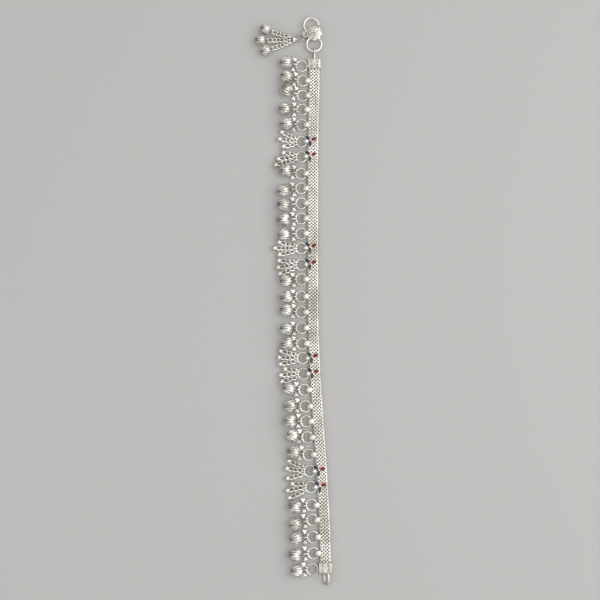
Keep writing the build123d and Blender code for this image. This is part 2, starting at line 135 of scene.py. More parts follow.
@dataclass(frozen=True)
class Layout:
    """The anklet's plan in millimetres: the band's line and the rings along its edge.

    The band runs along Y from its top end to its far end, and the fringe lies towards -X.
    """

    band_x: float = 9.3
    drifts: tuple[Drift, ...] = (Drift(0.8, 60.0, 110.0), Drift(5.6, -4.0, -126.0))
    top_y: float = 111.0
    end_y: float = -125.8
    half_band: float = 2.7
    half_cap: float = 3.25
    top_cap_y: float = 107.4
    end_cap_y: float = -122.4
    first_ring_y: float = 109.0
    pitch: float = 7.33
    ring_reach: float = 2.75
    ring_radius: float = 2.53
    ring_z: float = 1.4
    bell_z: float = 3.1

    def centre_x(self, y: float) -> float:
        """The band's centreline, which drifts gently to +X at both ends."""
        return self.band_x + sum(drift.at(y) for drift in self.drifts)

    def slope(self, y: float) -> float:
        """How far the centreline drifts for each millimetre along the band, about a height."""
        return (self.centre_x(y + 1) - self.centre_x(y - 1)) / 2

    def on_cap(self, y: float) -> bool:
        """Whether a ring at this height along the band hangs on a cap."""
        return y > self.top_cap_y or y < self.end_cap_y

    def ring_place(self, row: BellRow | ChainRow) -> Vector:
        """Centre of a station's ring, beside the band or the cap that carries it.

        Args:
            row: The station.

        Returns:
            The ring's centre in millimetres.
        """
        y = self.first_ring_y - self.pitch * row.station + row.slip
        half = self.half_cap if self.on_cap(y) else self.half_band
        return Vector((self.centre_x(y) - half - self.ring_reach, y, self.ring_z))


PLAN = Layout()


# ---------------------------------------------------------------- colour and finish


# A Mix node's sockets by number, because sockets of several kinds share each name.
MIX_SHARE = 0
FLOAT_A, FLOAT_B = 2, 3
COLOUR_A, COLOUR_B = 6, 7
MIXED_FLOAT, MIXED_COLOUR = 0, 2


def linear(code: str) -> tuple[float, float, float, float]:
    """Turns an sRGB hex colour to a linear one.

    Args:
        code: The colour as "#RRGGBB".

    Returns:
        Linear red, green and blue, and an alpha of 1.
    """
    shares = [int(code[place:place + 2], 16) / 255 for place in (1, 3, 5)]
    red, green, blue = (
        share / 12.92 if share <= 0.04045 else ((share + 0.055) / 1.055) ** 2.4
        for share in shares)
    return red, green, blue, 1.0


def scale_for(size_mm: float) -> float:
    """A noise's scale on Object coordinates for features of about this size."""
    return 1.0 / (size_mm * MM)


def add_node(tree: bpy.types.NodeTree, kind: str, inputs: dict | None = None,
             **settings: object) -> bpy.types.Node:
    """Adds one node with its settings and links.

    Args:
        tree: The node tree that the node goes into.
        kind: Blender's name of the node's type.
        inputs: For each input's name or number, a value or the socket that feeds it.
        **settings: Properties of the node itself.

    Returns:
        The new node.
    """
    node = tree.nodes.new(kind)
    for name, value in settings.items():
        setattr(node, name, value)
    for name, value in (inputs or {}).items():
        if isinstance(value, bpy.types.NodeSocket):
            tree.links.new(value, node.inputs[name])
        else:
            node.inputs[name].default_value = value
    return node


def blank_material(name: str) -> tuple[bpy.types.Material, bpy.types.NodeTree]:
    """A new node material with nothing in its tree.

    Args:
        name: The finish that the material shows.

    Returns:
        The material and its empty tree.
    """
    material = bpy.data.materials.new(name)
    material.use_nodes = True
    material.node_tree.nodes.clear()
    return material, material.node_tree


@dataclass(frozen=True)
class SilverFinish:
    """Sterling silver that has been pickled bright, darkened in its recesses partly by oxide and
    partly by painted shade.

    The eye sees a warm white metal with a soft sheen, greyer where it is handled less
    and nearly black where wires and petals meet, which is partly oxide and partly painted
    shade. A recess is a spot whose way out is partly shut within its distance, and there
    ambient occlusion darkens the colour as painted shade. Each range is the part of a
    pattern that is spread over what the pattern drives.
    """

    name: str
    bright: str = "#FBF8F2"
    dull: str = "#DAD5CB"
    oxide: str = "#37322C"
    roughness: float = 0.24
    recess_mm: float = 0.6
    recess_from: float = 0.25
    recess_to: float = 0.75
    recess_rays: int = 8
    patch_mm: float = 5.0
    patch_range: tuple[float, float] = (0.42, 0.68)
    sheen_range: tuple[float, float] = (0.3, 0.7)
    sheen_share: tuple[float, float] = (0.8, 1.35)
    mark_mm: float = 0.25
    mark_depth: float = 0.12
    mark_high_mm: float = 0.05

    def material(self) -> bpy.types.Material:
        """Builds the material.

        Returns:
            A metal whose colour falls towards oxide in recesses by painted shade, and whose sheen
            varies in patches.
        """
        material, tree = blank_material(self.name)
        place = add_node(tree, "ShaderNodeTexCoord").outputs["Object"]
        patches = add_node(tree, "ShaderNodeTexNoise", {
            "Vector": place, "Scale": scale_for(self.patch_mm), "Detail": 3.0})
        worn = add_node(tree, "ShaderNodeMapRange", {
            "Value": patches.outputs["Fac"],
            "From Min": self.patch_range[0], "From Max": self.patch_range[1]})
        metal = add_node(tree, "ShaderNodeMix", {
            MIX_SHARE: worn.outputs["Result"], COLOUR_A: linear(self.bright),
            COLOUR_B: linear(self.dull)}, data_type="RGBA")
        # Painted shade: ambient occlusion darkens the colour towards the dark recess colour,
        # partly oxide and partly painted shade.
        openness = add_node(tree, "ShaderNodeAmbientOcclusion", {
            "Distance": self.recess_mm * MM}, samples=self.recess_rays, only_local=True)
        clean = add_node(tree, "ShaderNodeMapRange", {
            "Value": openness.outputs["AO"],
            "From Min": self.recess_from, "From Max": self.recess_to})
        colour = add_node(tree, "ShaderNodeMix", {
            MIX_SHARE: clean.outputs["Result"], COLOUR_A: linear(self.oxide),
            COLOUR_B: metal.outputs[MIXED_COLOUR]}, data_type="RGBA")
        sheen = add_node(tree, "ShaderNodeMapRange", {
            "Value": patches.outputs["Fac"],
            "From Min": self.sheen_range[0], "From Max": self.sheen_range[1],
            "To Min": self.roughness * self.sheen_share[0],
            "To Max": self.roughness * self.sheen_share[1]})
        marks = add_node(tree, "ShaderNodeTexNoise", {
            "Vector": place, "Scale": scale_for(self.mark_mm), "Detail": 2.0})
        bump = add_node(tree, "ShaderNodeBump", {
            "Height": marks.outputs["Fac"], "Strength": self.mark_depth,
            "Distance": self.mark_high_mm * MM})
        shader = add_node(tree, "ShaderNodeBsdfPrincipled", {
            "Base Color": colour.outputs[MIXED_COLOUR], "Metallic": 1.0,
            "Roughness": sheen.outputs["Result"], "Normal": bump.outputs["Normal"]})
        add_node(tree, "ShaderNodeOutputMaterial", {"Surface": shader.outputs["BSDF"]})
        return material


@dataclass(frozen=True)
class EnamelFinish:
    """Vitreous enamel fired into silver cells: glassy, deep in colour and faintly clouded."""

    name: str
    colour: str
    shade: str
    cloud_mm: float = 0.6
    ripple: float = 0.2
    ripple_high_mm: float = 0.05
    roughness: float = 0.22
    glass_ior: float = 1.48

    def material(self) -> bpy.types.Material:
        """Builds the material.

        Returns:
            A glossy dielectric with a fired, slightly uneven surface.
        """
        material, tree = blank_material(self.name)
        place = add_node(tree, "ShaderNodeTexCoord").outputs["Object"]
        clouds = add_node(tree, "ShaderNodeTexNoise", {
            "Vector": place, "Scale": scale_for(self.cloud_mm), "Detail": 2.0})
        colour = add_node(tree, "ShaderNodeMix", {
            MIX_SHARE: clouds.outputs["Fac"], COLOUR_A: linear(self.colour),
            COLOUR_B: linear(self.shade)}, data_type="RGBA")
        bump = add_node(tree, "ShaderNodeBump", {
            "Height": clouds.outputs["Fac"], "Strength": self.ripple,
            "Distance": self.ripple_high_mm * MM})
        shader = add_node(tree, "ShaderNodeBsdfPrincipled", {
            "Base Color": colour.outputs[MIXED_COLOUR], "Roughness": self.roughness,
            "IOR": self.glass_ior, "Normal": bump.outputs["Normal"]})
        add_node(tree, "ShaderNodeOutputMaterial", {"Surface": shader.outputs["BSDF"]})
        return material


class Finish(Enum):
    """The finishes on the anklet, each with the material slot that it belongs to.

    Grain, marks and ripples are drawn a little coarser than they are, so that they show.
    Every silver finish darkens in its recesses by painted shade that partly stands for oxide.
    """

    # Drawn wire, lighter where it rises and dark in the gaps, partly oxide and partly painted
    # shade: bright short strands with dark gaps between.
    WOVEN = ("woven_silver", SilverFinish(
        "drawn_silver_wire_woven", roughness=0.3, recess_mm=0.7, patch_mm=7.0,
        recess_from=0.2, recess_to=0.64))
    # Inner wire that no cloth reaches, a dull grey behind the strands: partly oxide, partly
    # painted shade in the braid's gaps.
    CORE = ("woven_silver", SilverFinish(
        "oxidised_silver_core", bright="#8F887D", dull="#6A645B", roughness=0.5, mark_depth=0.3))
    # Cast silver, pickled and lightly rubbed: a soft sheen over a fine grain.
    CAST = ("cast_silver", SilverFinish(
        "cast_silver_pickled", roughness=0.32, recess_mm=0.4, mark_mm=0.18, mark_depth=0.25,
        recess_from=0.15, recess_to=0.65))
    # Cast silver left as it came from the pickle: frosted, pale and a little lumpy.
    MATT = ("cast_silver", SilverFinish(
        "cast_silver_matt", bright="#E4E0D8", dull="#C8C3B9", roughness=0.42, recess_mm=0.5,
        mark_mm=0.35, mark_depth=0.9, recess_from=0.25, recess_to=0.8))
    # Drawn wire, tumbled bright: crisp highlights along every link.
    WIRE = ("wire_silver", SilverFinish(
        "drawn_silver_wire_polished", roughness=0.23, recess_mm=0.4, mark_depth=0.08))
    # Solid balls, brushed in a drum: a broad soft highlight.
    BALL = ("wire_silver", SilverFinish(
        "ball_silver_satin", bright="#F1EDE6", dull="#D8D3CA", roughness=0.36, recess_mm=0.4,
        mark_depth=0.2))
    # Thin sheet pressed in a die: bright ribs with dark grooves between, the grooves darkened
    # partly by oxide and partly by painted shade.
    BELL = ("bell_silver", SilverFinish(
        "pressed_sheet_silver", roughness=0.27, recess_mm=1.0, dull="#CFC9BE",
        recess_from=0.45, recess_to=0.9))
    # Glass fired into cells: small, deep and glossy patches of colour.
    RED = ("red_enamel", EnamelFinish("crimson_enamel", "#8F0A24", "#5E0517"))
    BLUE = ("blue_enamel", EnamelFinish("violet_blue_enamel", "#1B185A", "#0E0C2E"))
    GREEN = ("green_enamel", EnamelFinish("bottle_green_enamel", "#224D35", "#143324"))

    @property
    def slot(self) -> str:
        """The record's material slot."""
        return self.value[0]

    @property
    def recipe(self) -> SilverFinish | EnamelFinish:
        """What the finish is made from."""
        return self.value[1]

    @property
    def material(self) -> bpy.types.Material:
        """The finish's material, made on first use."""
        return bpy.data.materials.get(self.recipe.name) or self.recipe.material()


# ---------------------------------------------------------------- shapes


def turned(degrees: float, axis: str) -> Matrix:
    """A turn about one axis, in degrees."""
    return Matrix.Rotation(math.radians(degrees), 4, axis)


def move(x: float, y: float, z: float) -> Matrix:
    """A move by three distances."""
    return Matrix.Translation((x, y, z))


def stretch(x: float, y: float, z: float) -> Matrix:
    """A stretch along the three axes."""
    return Matrix.Diagonal((x, y, z, 1.0))


def axes_at(origin: Vector, x_dir: Vector, z_dir: Vector) -> Matrix:
    """A place whose X and Z axes run along the given directions.

    Args:
        origin: Where the place is.
        x_dir: Direction of its X axis.
        z_dir: Direction of its Z axis, square to the first.

    Returns:
        The matrix that takes a shape there.
    """
    x_unit, z_unit = x_dir.normalized(), z_dir.normalized()
    turn = Matrix((x_unit, z_unit.cross(x_unit), z_unit)).transposed().to_4x4()
    return Matrix.Translation(origin) @ turn


class Form:
    """A mesh that is being put together, in millimetres."""

    def __init__(self) -> None:
        """Starts with nothing in it."""
        self.bm = bmesh.new()

    def stamp(self, part: bpy.types.Mesh, place: Matrix) -> None:
        """Adds a copy of a finished part.

        Args:
            part: The part about its own origin.
            place: Where the copy goes. A mirrored place keeps its faces outwards.
        """
        copy = part.copy()
        copy.transform(place)
        if place.determinant() < 0:
            copy.flip_normals()
        self.bm.from_mesh(copy)
        bpy.data.meshes.remove(copy)

    def mesh(self, name: str, recalculate: bool = False) -> bpy.types.Mesh:
        """Closes the form and gives its mesh.

        Args:
            name: The mesh's name.
            recalculate: Whether its faces are turned outwards again.

        Returns:
            The smooth-shaded mesh, still in millimetres.
        """
        if recalculate:
            bmesh.ops.recalc_face_normals(self.bm, faces=self.bm.faces)
        for face in self.bm.faces:
            face.smooth = True
        mesh = bpy.data.meshes.new(name)
        self.bm.to_mesh(mesh)
        self.bm.free()
        return mesh


def shape(make: Callable[[bmesh.types.BMesh], None], name: str,
          recalculate: bool = False) -> bpy.types.Mesh:
    """Makes a part's mesh from a function that works on an empty bmesh.

    Args:
        make: Adds the part's geometry, in millimetres.
        name: The mesh's name.
        recalculate: Whether its faces are turned outwards afterwards.

    Returns:
        The part's mesh.
    """
    form = Form()
    make(form.bm)
    return form.mesh(name, recalculate)


def show(mesh: bpy.types.Mesh, name: str, finish: Finish, stands_for: Sequence[str]) -> None:
    """Puts a finished mesh on the anklet as a piece, which rides on its one body.

    Args:
        mesh: The piece's mesh in millimetres, in place.
        name: The piece's name.
        finish: The finish that covers it.
        stands_for: The solids' nodes that it is shown in place of.
    """
    mesh.transform(Matrix.Scale(MM, 4))
    mesh.materials.append(finish.material)
    piece = bpy.data.objects.new(name, mesh)
    bpy.context.scene.collection.objects.link(piece)
    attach(piece, ROOT)
    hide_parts(*stands_for)
    triangles = sum(len(face.vertices) - 2 for face in mesh.polygons)
    LOG.info("%s: %d triangles, %s", name, triangles, finish.recipe.name)


def bead(radius: float, segments: int, rings: int) -> bpy.types.Mesh:
    """A round bead about the origin."""
    return shape(lambda bm: bmesh.ops.create_uvsphere(
        bm, u_segments=segments, v_segments=rings, radius=radius), "bead")


def arc_wire(radius: float, wire: float, steps: int, sides: int,
             sweep: float = 360.0) -> bpy.types.Mesh:
    """Round wire bent to an arc about Z, from +X.

    Args:
        radius: The arc's centreline radius.
        wire: The wire's radius.
        steps: Steps along the arc.
        sides: Sides of the wire.
        sweep: The arc's angle in degrees.

    Returns:
        A closed ring for a whole turn, and otherwise an arc with capped ends.
    """
    closed = sweep >= 360.0

    def make(bm: bmesh.types.BMesh) -> None:
        """Spins the wire's section about Z.

        Args:
            bm: The empty bmesh.
        """
        section = bmesh.ops.create_circle(
            bm, cap_ends=False, segments=sides, radius=wire,
            matrix=move(radius, 0, 0) @ turned(90, "X"))
        edges = {edge for vert in section["verts"] for edge in vert.link_edges}
        bmesh.ops.spin(
            bm, geom=section["verts"] + list(edges), cent=(0, 0, 0), axis=(0, 0, 1),
            angle=math.radians(sweep), steps=steps, use_merge=closed)
        if not closed:
            ends = [edge for edge in bm.edges if edge.is_boundary]
            bmesh.ops.holes_fill(bm, edges=ends, sides=sides)

    return shape(make, "arc_wire", recalculate=True)


def bent_wire(points: Iterable[Sequence[float]], wire: float, closed: bool = False,
              rounding: int = 2) -> bpy.types.Mesh:
    """Round wire along a line of points.

    Args:
        points: The centreline's points.
        wire: The wire's radius.
        closed: Whether the line runs back to its start.
        rounding: How finely the wire's section is rounded.

    Returns:
        The wire's mesh.
    """
    line = list(points)
    curve = bpy.data.curves.new("bent_wire", "CURVE")
    curve.dimensions = "3D"
    curve.bevel_depth = wire
    curve.bevel_resolution = rounding
    curve.use_fill_caps = not closed
    spline = curve.splines.new("POLY")
    spline.points.add(len(line) - 1)
    for point, spot in zip(spline.points, line):
        point.co = (*spot, 1.0)
    spline.use_cyclic_u = closed
    holder = bpy.data.objects.new("bent_wire", curve)
    mesh = bpy.data.meshes.new_from_object(holder)
    bpy.data.objects.remove(holder)
    bpy.data.curves.remove(curve)
    form = Form()
    form.bm.from_mesh(mesh)
    bpy.data.meshes.remove(mesh)
    bmesh.ops.remove_doubles(form.bm, verts=form.bm.verts, dist=WELD_MM)
    return form.mesh("bent_wire", recalculate=True)


def lathe(profile: Sequence[tuple[float, float]], steps: int) -> bpy.types.Mesh:
    """Turns a profile about Z.

    Args:
        profile: Distance from the axis and height of each point.
        steps: Steps round the turn.

    Returns:
        The turned part.
    """

    def make(bm: bmesh.types.BMesh) -> None:
        """Draws the profile and spins it.

        Args:
            bm: The empty bmesh.
        """
        verts = [bm.verts.new((reach, 0, height)) for reach, height in profile]
        edges = [bm.edges.new(pair) for pair in zip(verts, verts[1:])]
        bmesh.ops.spin(
            bm, geom=verts + edges, cent=(0, 0, 0), axis=(0, 0, 1), angle=2 * math.pi,
            steps=steps, use_merge=True)
        bmesh.ops.remove_doubles(bm, verts=bm.verts, dist=WELD_MM)

    return shape(make, "turned", recalculate=True)


def stadium(length: float, width: float, steps: int = 10) -> list[Vector]:
    """Points round a stadium about the origin, its long axis along X.

    Args:
        length: Length over the wire's centreline.
        width: Width over the wire's centreline.
        steps: Steps round each end.

    Returns:
        The points in order.
    """
    radius, half = width / 2, (length - width) / 2
    points = []
    for end in (1, -1):
        for step in range(steps + 1):
            angle = math.radians(-90 + 180 * step / steps)
            out, up = radius * math.cos(angle), radius * math.sin(angle)
            points.append(Vector((end * (half + out), end * up, 0)))
    return points


# ---------------------------------------------------------------- sub-assemblies


@dataclass
class WovenBand:
    """The flat woven band: stout strands braided one over one round a thin core.

    A strand shows as a short hump of wire wherever it passes over another, and dives
    under its neighbours at both ends. Humps of alternate columns slant opposite ways.
    The core's insets from the band's sides and faces are in strand radii.
    """

    half_width: float = 2.7
    half_thick: float = 1.1
    mid_z: float = 1.1
    corner: float = 0.7
    wire: float = 0.36
    columns: int = 14
    pitch: float = 1.55
    hump_radius: float = 1.0
    hump_sweep: float = 112.0
    hump_steps: int = 7
    hump_sides: int = 8
    slant: float = 46.0
    core_insets: tuple[float, float] = (2.4, 2.0)
    core_steps: tuple[int, int] = (4, 60)

    def hump(self) -> bpy.types.Mesh:
        """One hump of a strand.

        Returns:
            The hump, long along Y, its top's centreline at the origin.
        """
        arc = arc_wire(
            self.hump_radius, self.wire, self.hump_steps, self.hump_sides, self.hump_sweep)
        arc.transform(move(0, 0, -self.hump_radius) @ turned(90, "Z") @ turned(90, "X")
                      @ turned(90 - self.hump_sweep / 2, "Z"))
        return arc

    def flats(self) -> tuple[float, float]:
        """Half the length of the section's flat runs, across and up."""
        inset = self.wire + self.corner
        return self.half_width - inset, self.half_thick - inset

    def section_place(self, along: float) -> Matrix:
        """The place on the band's rounded section at a distance round it from the top's middle.

        Args:
            along: Distance round the section, in millimetres.

        Returns:
            A matrix whose Z axis points out of the band and whose Y axis runs along it.
        """
        across, up = self.flats()
        bend = self.corner * math.pi / 2
        runs = ((across, 0.0), (bend, 90.0), (2 * up, 0.0), (bend, 90.0), (2 * across, 0.0),
                (bend, 90.0), (2 * up, 0.0), (bend, 90.0), (across, 0.0))
        place = move(0, 0, up + self.corner)
        for length, turn in runs:
            part = min(along, length)
            if turn:
                bent = turned(turn * part / length, "Y")
                place = place @ move(0, 0, -self.corner) @ bent @ move(0, 0, self.corner)
            else:
                place = place @ move(part, 0, 0)
            along -= part
            if along <= 0:
                break
        return place

    def girth(self) -> float:
        """The distance once round the strands' centrelines."""
        return 4 * sum(self.flats()) + 2 * math.pi * self.corner

    def weave(self, columns: Iterable[int]) -> bpy.types.Mesh:
        """Some of the columns of humps, row by row along the band.

        Args:
            columns: The columns' numbers round the band from the top's middle.

        Returns:
            Their mesh.
        """
        form, hump = Form(), self.hump()
        rows = int((PLAN.top_y - PLAN.end_y - 2 * self.wire) / self.pitch)
        places = []
        for column in columns:
            side = 1 if column % 2 else -1
            on_face = self.section_place(column % self.columns * self.girth() / self.columns)
            stagger = move(0, side * self.pitch / 4, 0)
            places.append(stagger @ on_face @ turned(side * self.slant, "Z"))
        for row in range(rows):
            y = PLAN.top_y - self.wire - (row + 0.5) * self.pitch
            heading = Matrix.Rotation(-math.atan(PLAN.slope(y)), 4, "Z")
            here = move(PLAN.centre_x(y), y, self.mid_z) @ heading
            for place in places:
                form.stamp(hump, here @ place)
        return form.mesh("weave")

    def core(self) -> bpy.types.Mesh:
        """The inner strands, seen only in the braid's gaps and painted dark grey, partly oxide
        and partly painted shade.

        Returns:
            A plain bar inside the weave.
        """
        side, face = (inset * self.wire for inset in self.core_insets)
        wide, thick = 2 * (self.half_width - side), 2 * (self.half_thick - face)
        span, middle = PLAN.top_y - PLAN.end_y, (PLAN.top_y + PLAN.end_y) / 2

        def make(bm: bmesh.types.BMesh) -> None:
            """Bends a flat strip along the band's line and gives it its thickness.

            Args:
                bm: The empty bmesh.
            """
            across, along = self.core_steps
            bmesh.ops.create_grid(bm, x_segments=across, y_segments=along, size=0.5)
            bmesh.ops.scale(bm, vec=(wide, span, 1), verts=bm.verts)
            bmesh.ops.translate(bm, vec=(0, middle, self.mid_z), verts=bm.verts)
            for vert in bm.verts:
                vert.co.x += PLAN.centre_x(vert.co.y)
            bmesh.ops.solidify(bm, geom=bm.faces, thickness=thick)
            bmesh.ops.translate(bm, vec=(0, 0, thick / 2), verts=bm.verts)

        return shape(make, "band_core", recalculate=True)

    def dress(self) -> None:
        """Shows the weave and its core in place of the plain bar."""
        quarter_way = self.columns // 4
        front = range(-quarter_way, quarter_way + 1)
        back = range(quarter_way + 1, self.columns - quarter_way)
        show(self.weave(front), "woven_band", Finish.WOVEN, ["band"])
        show(self.weave(back), "woven_band_back", Finish.WOVEN, ["band"])
        show(self.core(), "band_core", Finish.CORE, ["band"])


@dataclass
class EdgeStuds:
    """The round domes at the band's edge that carry the bell stations' rings."""

    width: float = 3.3
    bottom: float = 0.5
    top: float = 3.3
    out: float = 0.6
    squareness: float = 0.2
    cuts: int = 5

    def dome(self) -> bpy.types.Mesh:
        """One dome, full at its foot and round on top.

        Returns:
            The dome about its own middle.
        """
        half_high = (self.top - self.bottom) / 2

        def make(bm: bmesh.types.BMesh) -> None:
            """Rounds a cube to a full, soft block.

            Args:
                bm: The empty bmesh.
            """
            bmesh.ops.create_cube(bm, size=2.0)
            bmesh.ops.subdivide_edges(bm, edges=bm.edges, cuts=self.cuts, use_grid_fill=True)
            for vert in bm.verts:
                ball = vert.co.normalized()
                vert.co = ball.lerp(vert.co, self.squareness)
            bmesh.ops.scale(bm, vec=(self.width / 2, self.width / 2, half_high), verts=bm.verts)

        return shape(make, "stud_dome")

    def spot(self, place: Vector) -> Matrix:
        """Where the dome of the ring at this place stands."""
        return move(place.x + PLAN.ring_reach - self.out, place.y, (self.top + self.bottom) / 2)

    def dress(self) -> None:
        """Shows a dome at each bell station on the band."""
        form, dome = Form(), self.dome()
        for row in BELL_ROWS:
            place = PLAN.ring_place(row)
            if not PLAN.on_cap(place.y):
                form.stamp(dome, self.spot(place))
        show(form.mesh("edge_studs"), "edge_studs", Finish.MATT, ["band"])


@dataclass
class EnamelMotifs:
    """The ball at each chain station and the raised cells round its enamel petals.

    Each motif lies beside its ball, on a round pad with a grain at its heart. The cells
    start above the ring's wire, and a petal of enamel domes out of each.
    """

    ball: float = 1.3
    ball_z: float = 2.5
    post: float = 1.15
    post_back: float = 0.5
    post_bottom: float = 0.5
    petal_length: float = 2.75
    petal_width: float = 1.65
    petal_z: float = 2.36
    petal_high: float = 0.36
    rim: float = 0.12
    gap: float = 0.02
    bottom: float = 1.75
    top: float = 2.75
    floor: float = 2.3
    pad: float = 0.8
    pad_top: float = 0.56
    pad_step: float = 0.2
    grain: float = 0.42
    motif_x: float = 4.18
    motif_y: float = 0.65
    reach: float = 1.75
    angles: tuple[float, ...] = (143.0, 15.0, -97.0)
    usual: tuple[Finish, ...] = (Finish.BLUE, Finish.RED, Finish.GREEN)
    unusual: dict[int, tuple[Finish, ...]] = field(default_factory=lambda: {
        5: (Finish.BLUE, Finish.RED, Finish.BLUE), 19: (Finish.GREEN, Finish.RED, Finish.GREEN)})

    def petal(self) -> bpy.types.Mesh:
        """One petal of enamel: a pointed leaf with a softly domed face.

        Returns:
            The petal about its own middle, long along X.
        """
        petal = bead(1.0, segments=24, rings=10)
        for vert in petal.vertices:
            spot = vert.co
            vert.co = Vector((
                self.petal_length / 2 * spot.x, self.petal_width / 2 * spot.y * abs(spot.y),
                self.petal_high * spot.z))
        return petal

    def cell(self) -> bpy.types.Mesh:
        """One leaf-shaped cell: a wall round a shallow pocket.

        Returns:
            The cell at its own height, long along X.
        """
        half_length, half_width = self.petal_length / 2, self.petal_width / 2
        long, wide = half_length + self.rim, half_width + self.rim
        inner = ((half_length + self.gap) / long, (half_width + self.gap) / wide, 1.0)

        def make(bm: bmesh.types.BMesh) -> None:
            """Shapes a disc to a leaf, raises it and sinks a pocket in its top.

            Args:
                bm: The empty bmesh.
            """
            bmesh.ops.create_circle(bm, cap_ends=True, segments=32, radius=1.0)
            for vert in bm.verts:
                spot = vert.co
                vert.co = Vector((long * spot.x, wide * spot.y * abs(spot.y), self.bottom))
            raised = bmesh.ops.extrude_face_region(bm, geom=bm.faces[:])["geom"]
            rim_verts = [item for item in raised if isinstance(item, bmesh.types.BMVert)]
            bmesh.ops.translate(bm, vec=(0, 0, self.top - self.bottom), verts=rim_verts)
            lid = next(item for item in raised if isinstance(item, bmesh.types.BMFace))
            bmesh.ops.inset_individual(bm, faces=[lid], thickness=0.0)
            bmesh.ops.scale(bm, vec=inner, verts=lid.verts)
            sunk = bmesh.ops.extrude_discrete_faces(bm, faces=[lid])["faces"][0]
            bmesh.ops.translate(bm, vec=(0, 0, self.floor - self.top), verts=sunk.verts)

        return shape(make, "petal_cell", recalculate=True)

    def dress(self) -> None:
        """Shows each chain station's ball, and its petals in their cells."""
        balls, cells = Form(), Form()
        enamel = {colour: Form() for colour in self.usual}
        ball = bead(self.ball, segments=32, rings=16)
        grain = bead(self.grain, segments=16, rings=10)
        petal, cell = self.petal(), self.cell()
        post = lathe([
            (0, self.post_bottom), (self.post, self.post_bottom), (self.post, self.ball_z),
            (0, self.ball_z)], steps=24)
        pad = lathe([
            (0, self.bottom), (self.pad, self.bottom), (self.pad, self.floor - self.pad_step),
            (self.pad_top, self.floor), (0, self.floor)], steps=24)
        for row in CHAIN_ROWS:
            place = PLAN.ring_place(row)
            x = place.x + PLAN.ring_radius - self.post_back
            balls.stamp(ball, move(x, place.y, self.ball_z))
            balls.stamp(post, move(x, place.y, 0))
            motif = move(place.x + self.motif_x, place.y + self.motif_y, 0)
            cells.stamp(pad, motif)
            cells.stamp(grain, motif @ move(0, 0, self.top))
            for angle, colour in zip(self.angles, self.unusual.get(row.station, self.usual)):
                spot = motif @ turned(angle, "Z") @ move(self.reach, 0, 0)
                cells.stamp(cell, spot)
                enamel[colour].stamp(petal, spot @ move(0, 0, self.petal_z))
        show(balls.mesh("motif_balls"), "motif_balls", Finish.BALL, ["band"])
        show(cells.mesh("petal_cells"), "petal_cells", Finish.CAST, ["band"])
        for colour, form in enamel.items():
            name = colour.name.lower()
            show(form.mesh("petals"), f"{name}_petals", colour, [f"enamel_{name}"])


FRINGE_BELL_RADIUS = 3.0


